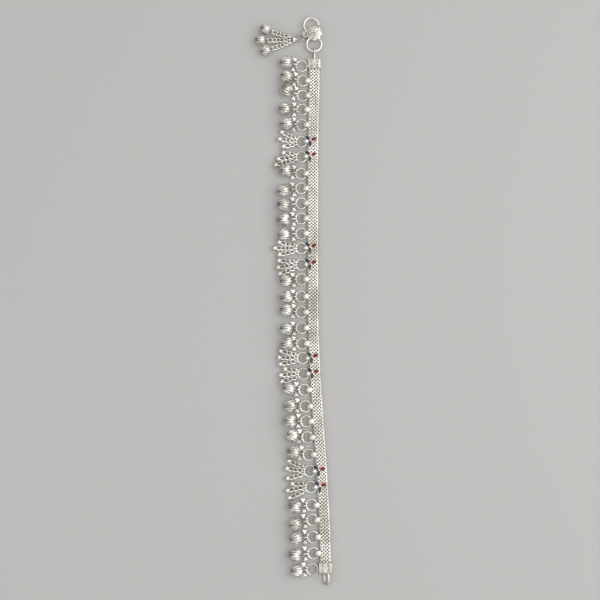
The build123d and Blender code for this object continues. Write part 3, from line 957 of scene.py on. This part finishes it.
@dataclass
class RibbedBell:
    """A ghungroo bell: two ribbed half shells, a crimped rim, a slit and a wire bail.

    The rim and the slit are given for a bell of the fringe, and a smaller bell has them
    smaller. The ribs fade towards the rim and the poles.
    """

    radius: float = FRINGE_BELL_RADIUS
    wall: float = 0.4
    segments: int = 72
    rings: int = 24
    ribs: int = 12
    rib_depth: float = 0.18
    rib_fade: float = 3.0
    groove_power: float = 1.8
    rim: float = 0.12
    rim_out: float = 0.08
    rim_stretch: float = 1.5
    point: float = 0.14
    point_power: int = 6
    slit_width: float = 0.5
    slit_length: float = 2.6
    bail_half: float = 0.85
    bail_wire: float = 0.25
    bail_steps: int = 10
    catch: float = 0.65

    @property
    def share(self) -> float:
        """This bell's size against the fringe's bells."""
        return self.radius / FRINGE_BELL_RADIUS

    def ribbed(self, spot: Vector) -> Vector:
        """Moves a point of a unit ball to the ribbed bell's skin.

        Args:
            spot: The point on the ball, the slit's end at -Z.

        Returns:
            The point on the bell, in millimetres.
        """
        around = math.atan2(spot.y, spot.x)
        level = math.hypot(spot.x, spot.y)
        ridge = abs(math.sin(self.ribs / 2 * around))
        faded = min(1.0, self.rib_fade * abs(spot.z)) * min(1.0, self.rib_fade * level)
        reach = 1.0 - self.rib_depth * faded * (1.0 - ridge) ** self.groove_power
        pointed = 1.0 + self.point * max(0.0, -spot.z) ** self.point_power
        return self.radius * reach * Vector((spot.x, spot.y, spot.z * pointed))

    def shell(self) -> bpy.types.Mesh:
        """The hollow shell with its slit.

        Returns:
            The shell about its own middle, its slit at -Z.
        """
        half_width = self.share * self.slit_width / 2
        half_length = self.share * self.slit_length / 2

        def in_slit(spot: Vector) -> bool:
            """Whether a face's middle lies inside the slit."""
            return abs(spot.y) < half_width and abs(spot.x) < half_length and spot.z < 0

        def make(bm: bmesh.types.BMesh) -> None:
            """Ribs a ball, cuts the slit in its point and gives it a wall.

            Args:
                bm: The empty bmesh.
            """
            bmesh.ops.create_uvsphere(
                bm, u_segments=self.segments, v_segments=self.rings, radius=1.0)
            for vert in bm.verts:
                vert.co = self.ribbed(vert.co)
            for normal, distance in (((0, 1, 0), half_width), ((1, 0, 0), half_length)):
                for side in (1, -1):
                    low = [face for face in bm.faces
                           if face.calc_center_median().z < -self.radius / 2]
                    near = {item for face in low for item in (face, *face.edges, *face.verts)}
                    bmesh.ops.bisect_plane(
                        bm, geom=list(near), dist=CUT_MM, plane_no=normal,
                        plane_co=Vector(normal) * distance * side)
            cut = [face for face in bm.faces if in_slit(face.calc_center_median())]
            bmesh.ops.delete(bm, geom=cut, context="FACES")
            bmesh.ops.solidify(bm, geom=bm.faces[:], thickness=self.wall)

        return shape(make, "bell_shell", recalculate=True)

    def bell(self) -> bpy.types.Mesh:
        """The shell with its crimped rim.

        Returns:
            The bell about its own middle.
        """
        form = Form()
        form.stamp(self.shell(), Matrix.Identity(4))
        rim_radius = self.radius + (self.rim_out - self.rim) * self.share
        rim = arc_wire(rim_radius, self.rim * self.share, steps=48, sides=8)
        form.stamp(rim, stretch(1, 1, self.rim_stretch))
        return form.mesh("bell")

    def bail(self, reach: float) -> bpy.types.Mesh:
        """A U of wire from the crown to its bend.

        Args:
            reach: Distance from the bell's centre to the bend's middle line.

        Returns:
            The wire, its legs starting inside the crown.
        """
        foot = math.sqrt((self.radius - self.wall / 2) ** 2 - self.bail_half ** 2)
        bend = reach - self.bail_half
        angles = [math.pi * step / self.bail_steps for step in range(self.bail_steps + 1)]
        arc = [(self.bail_half * math.cos(angle), 0, bend + self.bail_half * math.sin(angle))
               for angle in angles]
        ends = (self.bail_half, 0, foot), (-self.bail_half, 0, foot)
        return bent_wire([ends[0], *arc, ends[1]], self.bail_wire)

    def hung(self, bell: bpy.types.Mesh, centre: Vector, hold: Vector, turn: float,
             bail_turn: float = 90.0,
             sway: tuple[float, float] = (0.0, 0.0)) -> bpy.types.Mesh:
        """The bell lying with its bail caught over a wire.

        Args:
            bell: The bell about its own Z axis.
            centre: Where the bell's middle lies.
            hold: A point on the wire that the bail is caught over.
            turn: The bell's turn about its own axis, in degrees.
            bail_turn: The bail's turn about the same axis.
            sway: How far the shell sits askew on its bail, up or down and sideways, in degrees.

        Returns:
            The bell and its bail, in place.
        """
        span = hold - centre
        lying = axes_at(centre, Vector((0, 0, 1)).cross(span), span)
        askew = turned(sway[0], "X") @ turned(sway[1], "Y")
        form = Form()
        form.stamp(bell, lying @ askew @ turned(turn, "Z"))
        form.stamp(self.bail(span.length + self.catch), lying @ turned(bail_turn, "Z"))
        return form.mesh("hung_bell")


@dataclass
class Chains:
    """The curb chains: stout stadium links, each twisted so that the chain lies flat."""

    length: float = 2.6
    width: float = 1.85
    wire: float = 0.33
    twist: float = 45.0
    first_roll: float = 68.0
    second_roll: float = 34.0
    first_catch: float = 0.78
    ball: float = 1.35
    ball_offset: float = 0.75
    spread: float = 30.0
    plain_link: bpy.types.Mesh = field(init=False)
    curb_link: bpy.types.Mesh = field(init=False)

    def __post_init__(self) -> None:
        """Bends the plain first link and the twisted link that follows it."""
        line = stadium(self.length, self.width, steps=7)
        self.plain_link = bent_wire(line, self.wire, closed=True)
        self.curb_link = self.plain_link.copy()
        for vert in self.curb_link.vertices:
            turn = self.twist * 2 * vert.co.x / self.length
            vert.co = turned(turn, "X") @ vert.co

    def run(self, form: Form, start: Vector, span: Vector, last: float, count: int) -> None:
        """Lays one chain's links: a plain first one, and curb links evenly to the last.

        Args:
            form: The form that the links go into.
            start: The wire that the first link hangs on.
            span: The chain's direction.
            last: Distance from the start to the last link's middle.
            count: How many links there are.
        """
        up = span.cross(Vector((0, 0, 1))).cross(span)
        line = axes_at(start, span, up)
        first = self.length / 2 - self.first_catch
        form.stamp(self.plain_link, line @ move(first, 0, 0) @ turned(self.first_roll, "X"))
        for number in range(1, count):
            roll = self.second_roll if number == 1 else 0.0
            along = first + (last - first) * number / (count - 1)
            form.stamp(self.curb_link, line @ move(along, 0, 0) @ turned(roll, "X"))

    def drop(self, row: ChainRow, balls: Form) -> bpy.types.Mesh:
        """The three chains on one ring.

        Args:
            row: The chain station.
            balls: The form that the chains' balls go into.

        Returns:
            The chains without their balls.
        """
        form, ball = Form(), bead(self.ball, segments=28, rings=16)
        ring = PLAN.ring_place(row)
        for spread, spot, count in zip((self.spread, 0, -self.spread), row.balls, row.links):
            start = ring + turned(180 - spread, "Z") @ Vector((PLAN.ring_radius, 0, 0))
            end = Vector((ring.x + spot[0], ring.y + spot[1], self.ball))
            span = end - start
            self.run(form, start, span, span.length - self.length / 2 - self.ball_offset, count)
            balls.stamp(ball, Matrix.Translation(end))
        return form.mesh("chain_drop")

    def dress(self) -> None:
        """Shows the chain drops and their balls in place of the plain solids."""
        balls = Form()
        nodes = [f"chain_drop_{number}" for number in range(1, len(CHAIN_ROWS) + 1)]
        for number, (row, node) in enumerate(zip(CHAIN_ROWS, nodes), start=1):
            show(self.drop(row, balls), f"curb_chains_{number}", Finish.WIRE, [node])
        show(balls.mesh("chain_balls"), "chain_balls", Finish.BALL, nodes)


@dataclass
class FringeBells:
    """The bells of the fringe, one on the ring of each bell station.

    Each is askew by two waves along the fringe, given in radians for each station.
    """

    kind: RibbedBell = field(default_factory=RibbedBell)
    askew: float = 17.0
    waves: tuple[float, float] = (2.4, 1.7)

    def sway(self, station: int) -> tuple[float, float]:
        """How far a station's bell is askew, up or down and sideways, in degrees."""
        first, second = (wave * station for wave in self.waves)
        return self.askew * math.sin(first), self.askew * math.cos(second)

    def dress(self) -> None:
        """Shows every bell in place of its plain solid, each a little askew in its own way."""
        bell = self.kind.bell()
        for number, row in enumerate(BELL_ROWS, start=1):
            ring = PLAN.ring_place(row)
            away = turned(180 - row.lean, "Z") @ Vector((1, 0, 0))
            centre = ring + away * row.reach + Vector((0, 0, PLAN.bell_z - PLAN.ring_z))
            hold = ring + away * PLAN.ring_radius
            hung = self.kind.hung(bell, centre, hold, row.turn, sway=self.sway(row.station))
            show(hung, f"ribbed_bell_{number:02d}", Finish.BELL, [f"bell_{number:02d}"])


@dataclass
class Tassel:
    """The tassel's three chains and the small bells at their ends."""

    kind: RibbedBell = field(default_factory=lambda: RibbedBell(radius=2.5))
    chains: Chains = field(default_factory=Chains)
    cap: tuple[float, float] = (0.85, 121.7)
    staple_reach: float = 2.4
    chain_z: float = 1.5
    bell_z: float = 2.55
    hold: float = 3.3
    turn: float = 15.0
    bail_roll: float = 45.0
    cap_profile: tuple[tuple[float, float], ...] = (
        (0, 1.15), (0.5, 1.15), (0.8, 0.95), (0.92, 0.55), (1.12, 0.2), (1.42, -0.4),
        (1.6, -0.95), (1.52, -1.15), (1.3, -1.1), (1.1, -0.8), (0, -0.8))
    flutes: int = 8
    flute_depth: float = 0.2
    flute_power: float = 1.4
    flute_top: float = 0.9
    flute_fade: float = 1.2
    cap_z: float = 1.65
    bore_at: tuple[float, float] = (4.95, 123.9)
    shoulder: float = 2.1
    link_wire: float = 0.27
    foot: float = 0.7
    staple_half: float = 2.3
    staple_foot: tuple[float, float] = (-0.5, 1.0)
    corner: float = 0.45

    def fluted_cap(self) -> bpy.types.Mesh:
        """The tassel's cap: a fluted cone that widens downwards to a scalloped mouth.

        Returns:
            The cap about Z.
        """
        cap = lathe(self.cap_profile, steps=64)
        for vert in cap.vertices:
            around = math.atan2(vert.co.y, vert.co.x)
            groove = (1.0 - abs(math.sin(self.flutes / 2 * around))) ** self.flute_power
            faded = ease((self.flute_top - vert.co.z) / self.flute_fade)
            share = 1.0 - self.flute_depth * groove * faded
            vert.co.x, vert.co.y = vert.co.x * share, vert.co.y * share
        return cap

    def rounded(self, corners: Sequence[Vector]) -> list[Vector]:
        """A line through some corners, each inner one cut back to three points.

        Args:
            corners: The line's corners, its ends among them.

        Returns:
            The points of the eased line.
        """
        line = [corners[0]]
        for before, at, after in zip(corners, corners[1:], corners[2:]):
            start = at + (before - at).normalized() * self.corner
            end = at + (after - at).normalized() * self.corner
            line += [start, (start + 2 * at + end) / 4, end]
        return line + [corners[-1]]

    def link(self) -> bpy.types.Mesh:
        """The wire through the boss, the cap and the staple that the chains hang on.

        Returns:
            The link in place.
        """
        x, y = self.cap
        bore_x, bore_y = self.bore_at
        foot_x, foot_y = x + self.staple_foot[0], self.staple_foot[1]
        rod_x = x - self.staple_reach
        wires = (
            ((x, y + self.foot), (bore_x, bore_y + self.shoulder),
             (bore_x, bore_y - self.shoulder), (x, y - self.foot)),
            ((foot_x, y + foot_y), (rod_x, y + self.staple_half),
             (rod_x, y - self.staple_half), (foot_x, y - foot_y)),
        )
        form = Form()
        for corners in wires:
            line = self.rounded([Vector((*corner, self.chain_z)) for corner in corners])
            form.stamp(bent_wire(line, self.link_wire), Matrix.Identity(4))
        form.stamp(self.fluted_cap(), move(x, y, self.cap_z) @ turned(90, "Y"))
        return form.mesh("tassel_link")

    def dress(self) -> None:
        """Shows the link, the chains and the small bells in place of their plain solids."""
        show(self.link(), "tassel_cap_and_link", Finish.MATT, ["tassel_link"])
        bell, links = self.kind.bell(), Form()
        staple_x, staple_y = self.cap[0] - self.staple_reach, self.cap[1]
        for number, row in enumerate(TASSEL_ROWS, start=1):
            start = Vector((staple_x, staple_y + row.start_y, self.chain_z))
            centre = Vector((*row.bell, self.bell_z))
            level = Vector((*row.bell, self.chain_z)) - start
            span = math.sqrt(self.hold ** 2 - (self.bell_z - self.chain_z) ** 2)
            hold = start + level.normalized() * (level.length - span)
            last = level.length - span - self.chains.length / 2
            self.chains.run(links, start, level, last, row.links)
            hung = self.kind.hung(bell, centre, hold, self.turn * number, self.bail_roll)
            show(hung, f"small_bell_{number}", Finish.BELL, [f"tassel_bell_{number}"])
        show(links.mesh("tassel_curb_chains"), "tassel_curb_chains", Finish.WIRE,
             ["tassel_chains"])


@dataclass
class LeafDrops:
    """The small stamped leaves, two on each bell station's ring."""

    eye_radius: float = 0.95
    eye_wire: float = 0.25
    eye_offset: float = 0.25
    eye_roll: float = 60.0
    leaf_roll: float = 20.0
    thick: float = 0.6
    lobe: float = 0.66
    lobes: tuple[tuple[float, float], ...] = ((1.9, 0.46), (1.9, -0.46))
    tip_x: float = 2.65
    tip_stretch: tuple[float, float] = (1.3, 0.85)
    heart: float = 0.385
    heart_x: float = 2.15
    heart_stretch: float = 0.95
    spread: float = 34.0
    rise: float = 10.0

    def drop(self, side: int) -> bpy.types.Mesh:
        """One drop: a wire eye and a domed leaf of three lobes.

        Args:
            side: 1 or -1, the way that it is rolled.

        Returns:
            The drop, its eye near the origin and its leaf towards +X.
        """
        leaf, form = Form(), Form()
        lobe = bead(self.lobe, segments=14, rings=8)
        flat = self.thick / 2 / self.lobe
        for x, y in self.lobes:
            leaf.stamp(lobe, move(x, y, 0) @ stretch(1, 1, flat))
        leaf.stamp(lobe, move(self.tip_x, 0, 0) @ stretch(*self.tip_stretch, flat))
        heart = move(self.heart_x, 0, 0) @ stretch(1, 1, self.heart_stretch)
        leaf.stamp(bead(self.heart, segments=12, rings=8), heart)
        form.stamp(leaf.mesh("leaf"), turned(side * self.leaf_roll, "X"))
        eye = arc_wire(self.eye_radius, self.eye_wire, steps=18, sides=8)
        form.stamp(eye, move(self.eye_offset, 0, 0) @ turned(side * self.eye_roll, "X"))
        return form.mesh("leaf_drop")

    def dress(self) -> None:
        """Shows all the drops in place of their plain solids."""
        form = Form()
        drops = {side: self.drop(side) for side in (1, -1)}
        for row in BELL_ROWS:
            ring = PLAN.ring_place(row)
            for side, drop in drops.items():
                angle = 180 - row.lean - side * self.spread
                form.stamp(drop, Matrix.Translation(ring) @ turned(angle, "Z")
                           @ move(PLAN.ring_radius, 0, 0) @ turned(-side * self.rise, "Y"))
        show(form.mesh("stamped_leaves"), "stamped_leaves", Finish.CAST, ["leaf_drops"])


@dataclass(frozen=True)
class WireEye:
    """A closed eye of stout wire on a cap's end, leant about the band's line."""

    length: float
    width: float
    wire: float
    y: float
    z: float
    lean: float
    shift: float = 0.0

    def mesh(self) -> bpy.types.Mesh:
        """Bends the eye.

        Returns:
            The eye in place, its long axis along the band.
        """
        eye = bent_wire(stadium(self.length, self.width), self.wire, closed=True, rounding=3)
        eye.transform(move(PLAN.centre_x(self.y) + self.shift, self.y, self.z)
                      @ turned(self.lean, "Y") @ turned(90, "Z"))
        return eye


@dataclass
class EndCap:
    """A cast cap over one end of the band, with filigree scrolls and a wire eye.

    The name is the piece's, and the node is the plain cap's. The cap runs from its mouth
    towards +Y or -Y, by the sign of toward. The grains round its top are counted in steps
    from a side's middle to its corner, across and along.
    """

    name: str
    node: str
    mouth_y: float
    toward: int
    eye: WireEye
    scallops: int = 0
    width: float = 6.5
    length: float = 5.0
    thick: float = 2.85
    round_by: float = 0.5
    pocket: float = 3.8
    pocket_lip: float = 0.05
    border_bead: float = 0.2
    border_sink: float = 0.05
    border_insets: tuple[float, float] = (0.32, 0.3)
    border_steps: tuple[int, int] = (7, 5)
    heart: float = 0.42
    heart_stretch: float = 0.8
    scallop_inset: float = 0.2
    scallop_half: tuple[float, float, float] = (1.02, 0.75, 1.3)
    scroll_wire: float = 0.2
    scroll_reach: float = 0.95
    scroll_x: float = 1.55
    scroll_y: float = 1.05
    scroll_turns: float = 1.6
    scroll_closing: float = 0.78
    scroll_start: float = 60.0
    scroll_steps: int = 30
    lug_profile: tuple[tuple[float, float], ...] = ((0, 1), (0.8, 1), (1, 0.7), (1, -1), (0, -1))
    lug_length: float = 2.6
    lug_width: float = 1.6
    lug_bottom: float = 0.5
    lug_top: float = 2.4

    def box(self) -> bpy.types.Mesh:
        """The cap's body: a softened block with a pocket in its mouth.

        Returns:
            The body about the cap's middle, standing on the floor.
        """

        def make(bm: bmesh.types.BMesh) -> None:
            """Rounds a block's edges and sinks its mouth.

            Args:
                bm: The empty bmesh.
            """
            bmesh.ops.create_cube(bm, size=1.0)
            bmesh.ops.scale(bm, vec=(self.width, self.length, self.thick), verts=bm.verts)
            bmesh.ops.translate(bm, vec=(0, 0, self.thick / 2), verts=bm.verts)
            bmesh.ops.bevel(
                bm, geom=bm.edges[:], offset=self.round_by, segments=4, profile=0.5,
                affect="EDGES", material=-1)
            bm.normal_update()
            mouth = min(bm.faces, key=lambda face: face.calc_center_median().y * self.toward)
            bmesh.ops.inset_individual(bm, faces=[mouth], thickness=self.pocket_lip)
            sunk = bmesh.ops.extrude_discrete_faces(bm, faces=[mouth])["faces"][0]
            bmesh.ops.translate(bm, vec=(0, self.toward * self.pocket, 0), verts=sunk.verts)

        return shape(make, "cap_box", recalculate=True)

    def lug(self) -> bpy.types.Mesh:
        """The low lug that holds the ring under the cap's edge.

        Returns:
            The lug about Z, at its own height.
        """
        half_high = (self.lug_top - self.lug_bottom) / 2
        lug = lathe(self.lug_profile, steps=24)
        lug.transform(move(0, 0, self.lug_bottom + half_high)
                      @ stretch(self.lug_length / 2, self.lug_width / 2, half_high))
        return lug

    def scroll(self) -> bpy.types.Mesh:
        """One filigree scroll: wire wound inwards, lying flat.

        Returns:
            The scroll about its own middle.
        """
        points = []
        for step in range(self.scroll_steps + 1):
            part = step / self.scroll_steps
            angle = 2 * math.pi * self.scroll_turns * part
            reach = self.scroll_reach * (1 - self.scroll_closing * part)
            points.append((reach * math.cos(angle), reach * math.sin(angle), 0))
        return bent_wire(points, self.scroll_wire, rounding=1)

    def border(self) -> list[tuple[float, float]]:
        """Where the border's grains sit.

        Returns:
            Distances across and along from the cap's middle.
        """
        half_x = self.width / 2 - self.border_insets[0]
        half_y = self.length / 2 - self.border_insets[1]
        across, along = self.border_steps
        ends = [(half_x * (step / across - 1), side * half_y)
                for step in range(2 * across + 1) for side in (1, -1)]
        edges = [(side * half_x, half_y * (step / along - 1))
                 for step in range(1, 2 * along) for side in (1, -1)]
        return ends + edges

    def dress(self) -> None:
        """Shows the cap in place of its plain solid."""
        middle_y = self.mouth_y + self.toward * self.length / 2
        here = move(PLAN.centre_x(middle_y), middle_y, 0)
        top = here @ move(0, 0, self.thick)
        form = Form()
        form.stamp(self.box(), here)
        form.stamp(self.eye.mesh(), Matrix.Identity(4))
        scroll = self.scroll()
        for across in (1, -1):
            for along in (1, -1):
                form.stamp(scroll, top @ move(across * self.scroll_x, along * self.scroll_y, 0)
                           @ stretch(across, along, 1) @ turned(self.scroll_start, "Z"))
        heart = bead(self.heart, segments=16, rings=10)
        form.stamp(heart, top @ stretch(1, 1, self.heart_stretch))
        grain = bead(self.border_bead, segments=8, rings=6)
        for x, y in self.border():
            form.stamp(grain, top @ move(x, y, -self.border_sink))
        lobe = bead(1.0, segments=20, rings=12)
        edge_y = self.toward * (self.length / 2 - self.scallop_inset)
        for number in range(self.scallops):
            x = (number - (self.scallops - 1) / 2) * self.width / self.scallops
            form.stamp(lobe, here @ move(x, edge_y, self.thick / 2) @ stretch(*self.scallop_half))
        for row in BELL_ROWS:
            ring = PLAN.ring_place(row)
            if PLAN.on_cap(ring.y) and ring.y * self.toward > 0:
                form.stamp(self.lug(), move(ring.x + PLAN.ring_reach, ring.y, 0))
        show(form.mesh(self.name), self.name, Finish.MATT, [self.node])


# The clasp's end has an upright eye, and the other end scallops and a leaning eye.
CLASP_END_CAP = EndCap(
    "filigree_cap_clasp_end", "end_cap_clasp_end", PLAN.top_cap_y, 1,
    WireEye(length=5.7, width=2.4, wire=0.5, y=114.55, z=1.7, lean=90.0))
EYE_END_CAP = EndCap(
    "filigree_cap_eye_end", "end_cap_eye_end", PLAN.end_cap_y, -1,
    WireEye(length=5.1, width=2.8, wire=0.7, y=-129.55, z=1.8, lean=-50.0, shift=0.4),
    scallops=3)


@dataclass(frozen=True)
class RoseLayer:
    """A ring of petals: how many, how far out, how large, how far tipped, how high, turned."""

    petals: int
    reach: float
    size: float
    tip: float
    height: float
    turn: float


@dataclass
class ClaspHook:
    """The S-shaped clasp hook: two wire loops under a rose, and the tassel's boss."""

    wire: float = 0.5
    z: float = 1.7
    loop_radius: float = 3.5
    upper: tuple[float, float] = (8.55, 128.8)
    lower: tuple[float, float] = (9.95, 119.5)
    rose_at: tuple[float, float] = (10.0, 124.7)
    boss_at: tuple[float, float] = (5.75, 124.0)
    upper_from: float = 5.0
    upper_sweep: float = 245.0
    tip: float = 0.55
    rose_profile: tuple[tuple[float, float], ...] = (
        (0, 0.95), (3.1, 0.95), (3.4, 1.25), (3.4, 2.0), (3.1, 2.3), (0, 2.4))
    boss_profile: tuple[tuple[float, float], ...] = (
        (0, 3.1), (0.25, 3.04), (0.42, 2.86), (0.5, 2.6), (0.5, 2.0), (0.95, 2.0), (0.98, 2.8),
        (1.1, 3.02), (1.28, 3.08), (1.46, 2.94), (1.58, 2.66), (1.6, 2.4), (1.6, 0.7),
        (1.42, 0.4), (0, 0.4))
    petal_thin: float = 0.28
    petal_cup: float = 0.06
    heart: float = 0.42
    heart_z: float = 3.95
    layers: tuple[RoseLayer, ...] = (
        RoseLayer(8, 2.55, 1.25, -4.0, 2.4, 0.0),
        RoseLayer(7, 1.8, 1.05, 0.0, 2.85, 20.0),
        RoseLayer(5, 1.1, 0.85, 6.0, 3.3, 5.0),
        RoseLayer(3, 0.5, 0.6, 14.0, 3.7, 40.0),
    )

    def rose(self) -> bpy.types.Mesh:
        """The rose: rings of cupped petals over a disc.

        Returns:
            The rose about Z, at its own height.
        """
        form = Form()
        petal = bead(1.0, segments=20, rings=10)
        for vert in petal.vertices:
            cup = self.petal_cup * (vert.co.x ** 2 + vert.co.y ** 2)
            vert.co = Vector((vert.co.x, vert.co.y, self.petal_thin * vert.co.z + cup))
        form.stamp(lathe(self.rose_profile, steps=48), Matrix.Identity(4))
        for layer in self.layers:
            for number in range(layer.petals):
                turn = 360 / layer.petals * number + layer.turn
                form.stamp(petal, turned(turn, "Z") @ move(layer.reach, 0, layer.height)
                           @ turned(-layer.tip, "Y") @ Matrix.Scale(layer.size, 4))
        heart = bead(self.heart, segments=16, rings=10)
        form.stamp(heart, move(0, 0, self.heart_z))
        return form.mesh("rose")

    def boss(self) -> bpy.types.Mesh:
        """The round boss: a raised rim and a bead in its dimple."""
        return lathe(self.boss_profile, steps=40)

    def dress(self) -> None:
        """Shows the clasp hook in place of its plain solid."""
        form = Form()
        level = move(0, 0, self.z)
        upper = move(*self.upper, 0) @ level @ turned(self.upper_from, "Z")
        open_loop = arc_wire(
            self.loop_radius, self.wire, steps=48, sides=12, sweep=self.upper_sweep)
        form.stamp(open_loop, upper)
        form.stamp(bead(self.tip, segments=16, rings=10), upper @ move(self.loop_radius, 0, 0))
        closed_loop = arc_wire(self.loop_radius, self.wire, steps=64, sides=12)
        form.stamp(closed_loop, move(*self.lower, 0) @ level)
        show(form.mesh("clasp_wires"), "clasp_wires", Finish.CAST, ["clasp_hook"])
        castings = Form()
        castings.stamp(self.rose(), move(*self.rose_at, 0))
        castings.stamp(self.boss(), move(*self.boss_at, 0))
        show(castings.mesh("rose_and_boss"), "rose_and_boss", Finish.MATT, ["clasp_hook"])


@dataclass
class FringeRings:
    """The closed wire rings between the band and the fringe."""

    wire: float = 0.31

    def dress(self) -> None:
        """Shows every ring in place of the plain ones."""
        form, ring = Form(), arc_wire(PLAN.ring_radius, self.wire, steps=48, sides=10)
        for row in BELL_ROWS + CHAIN_ROWS:
            form.stamp(ring, Matrix.Translation(PLAN.ring_place(row)))
        show(form.mesh("wire_rings"), "wire_rings", Finish.WIRE, ["fringe_rings"])


# ---------------------------------------------------------------- studio


@dataclass(frozen=True)
class PaperFinish:
    """Pale matt paper: an even ground for the anklet's shadow, with a faint, coarse grain."""

    name: str = "pale_paper"
    colour: str = "#BFBEBC"
    roughness: float = 0.9
    grain_mm: float = 0.8
    grain_depth: float = 0.15
    grain_high_mm: float = 0.1

    def material(self) -> bpy.types.Material:
        """Builds the material.

        Returns:
            A rough, slightly uneven surface of one colour.
        """
        material, tree = blank_material(self.name)
        place = add_node(tree, "ShaderNodeTexCoord").outputs["Object"]
        grain = add_node(tree, "ShaderNodeTexNoise", {
            "Vector": place, "Scale": scale_for(self.grain_mm), "Detail": 2.0})
        bump = add_node(tree, "ShaderNodeBump", {
            "Height": grain.outputs["Fac"], "Strength": self.grain_depth,
            "Distance": self.grain_high_mm * MM})
        shader = add_node(tree, "ShaderNodeBsdfPrincipled", {
            "Base Color": linear(self.colour), "Roughness": self.roughness,
            "Normal": bump.outputs["Normal"]})
        add_node(tree, "ShaderNodeOutputMaterial", {"Surface": shader.outputs["BSDF"]})
        return material


@dataclass(frozen=True)
class Lamp:
    """A soft rectangular lamp that faces the anklet, in metres and watts."""

    name: str
    place: tuple[float, float, float]
    size: tuple[float, float]
    power: float

    def hang(self) -> None:
        """Hangs the lamp over the anklet."""
        lamp = bpy.data.lights.new(self.name, "AREA")
        lamp.shape = "RECTANGLE"
        lamp.size, lamp.size_y = self.size
        lamp.energy = self.power
        holder = bpy.data.objects.new(self.name, lamp)
        holder.location = self.place
        holder.rotation_euler = Vector(self.place).to_track_quat("Z", "Y").to_euler()
        bpy.context.scene.collection.objects.link(holder)


@dataclass
class Studio:
    """A pale matt floor, soft lamps and a camera that looks almost straight down.

    The room glows on one side, as by a window, and metal mirrors that glow. All else is
    lit by the same even light, and the camera sees a white backdrop.
    """

    floor_size: float = 3.0
    floor_drop_mm: float = 0.02
    paper: PaperFinish = PaperFinish()
    backdrop: str = "#FFFFFF"
    backdrop_strength: float = 1.0
    room_strength: float = 0.62
    glow_toward: tuple[float, float, float] = (0.5, 0.05, 0.87)
    glow_until: float = 0.7
    glow_strength: tuple[float, float] = (0.1, 0.91)
    lamps: tuple[Lamp, ...] = (
        Lamp("key_lamp", (0.46, 0.04, 0.62), (0.8, 0.8), 3.0),
        Lamp("fill_lamp", (-0.5, -0.2, 0.5), (0.6, 0.6), 0.7),
    )
    camera_distance: float = 0.5
    camera_tilt: float = 5.1
    frame_width: float = 0.279
    aim: tuple[float, float, float] = (3.25, -2.6, 2.0)
    sensor: float = 36.0
    clip: tuple[float, float] = (0.01, 10.0)

    def lay_floor(self) -> None:
        """Lays the floor just under the anklet."""
        mesh = shape(lambda bm: bmesh.ops.create_grid(
            bm, x_segments=1, y_segments=1, size=self.floor_size / 2), "floor")
        mesh.materials.append(self.paper.material())
        floor = bpy.data.objects.new("floor", mesh)
        floor.location.z = -self.floor_drop_mm * MM
        bpy.context.scene.collection.objects.link(floor)

    def light_world(self) -> None:
        """Lights the room and shows it as a pale backdrop."""
        world = bpy.data.worlds.new("studio")
        bpy.context.scene.world = world
        world.use_nodes = True
        tree = world.node_tree
        tree.nodes.clear()
        way = add_node(tree, "ShaderNodeTexCoord").outputs["Generated"]
        toward = add_node(tree, "ShaderNodeVectorMath", {
            0: way, 1: self.glow_toward}, operation="DOT_PRODUCT").outputs["Value"]
        glow = add_node(tree, "ShaderNodeMapRange", {
            "Value": toward, "From Min": 0.0, "From Max": self.glow_until,
            "To Min": self.glow_strength[0], "To Max": self.glow_strength[1]})
        rays = add_node(tree, "ShaderNodeLightPath").outputs
        mirrored = add_node(tree, "ShaderNodeMath", {
            0: rays["Is Glossy Ray"], 1: rays["Is Transmission Ray"]}, operation="MAXIMUM")
        strength = add_node(tree, "ShaderNodeMix", {
            MIX_SHARE: mirrored.outputs["Value"], FLOAT_A: self.room_strength,
            FLOAT_B: glow.outputs["Result"]}, data_type="FLOAT")
        seen = add_node(tree, "ShaderNodeMix", {
            MIX_SHARE: rays["Is Camera Ray"], FLOAT_A: strength.outputs[MIXED_FLOAT],
            FLOAT_B: self.backdrop_strength}, data_type="FLOAT")
        light = add_node(tree, "ShaderNodeBackground", {
            "Color": linear(self.backdrop), "Strength": seen.outputs[MIXED_FLOAT]})
        add_node(tree, "ShaderNodeOutputWorld", {"Surface": light.outputs["Background"]})

    def set_camera(self) -> None:
        """Sets the camera almost straight above the anklet."""
        camera = bpy.data.cameras.new("camera")
        camera.sensor_width = self.sensor
        camera.lens = self.sensor * self.camera_distance / self.frame_width
        camera.clip_start, camera.clip_end = self.clip
        holder = bpy.data.objects.new("camera", camera)
        holder.rotation_euler.x = math.radians(self.camera_tilt)
        back = turned(self.camera_tilt, "X") @ Vector((0, 0, self.camera_distance))
        holder.location = Vector(self.aim) * MM + back
        bpy.context.scene.collection.objects.link(holder)
        bpy.context.scene.camera = holder

    def dress(self) -> None:
        """Sets the whole studio up."""
        bpy.context.scene.view_settings.view_transform = "Standard"
        self.set_camera()
        self.lay_floor()
        self.light_world()
        for lamp in self.lamps:
            lamp.hang()


def main() -> None:
    """Builds and dresses every sub-assembly in order."""
    logging.basicConfig(level=logging.INFO, format="%(name)s %(message)s")
    parts = (Studio(), WovenBand(), EdgeStuds(), EnamelMotifs(), CLASP_END_CAP, EYE_END_CAP,
             ClaspHook(), Tassel(), FringeRings(), FringeBells(), LeafDrops(), Chains())
    for part in parts:
        part.dress()


if __name__ == "__main__":
    main()
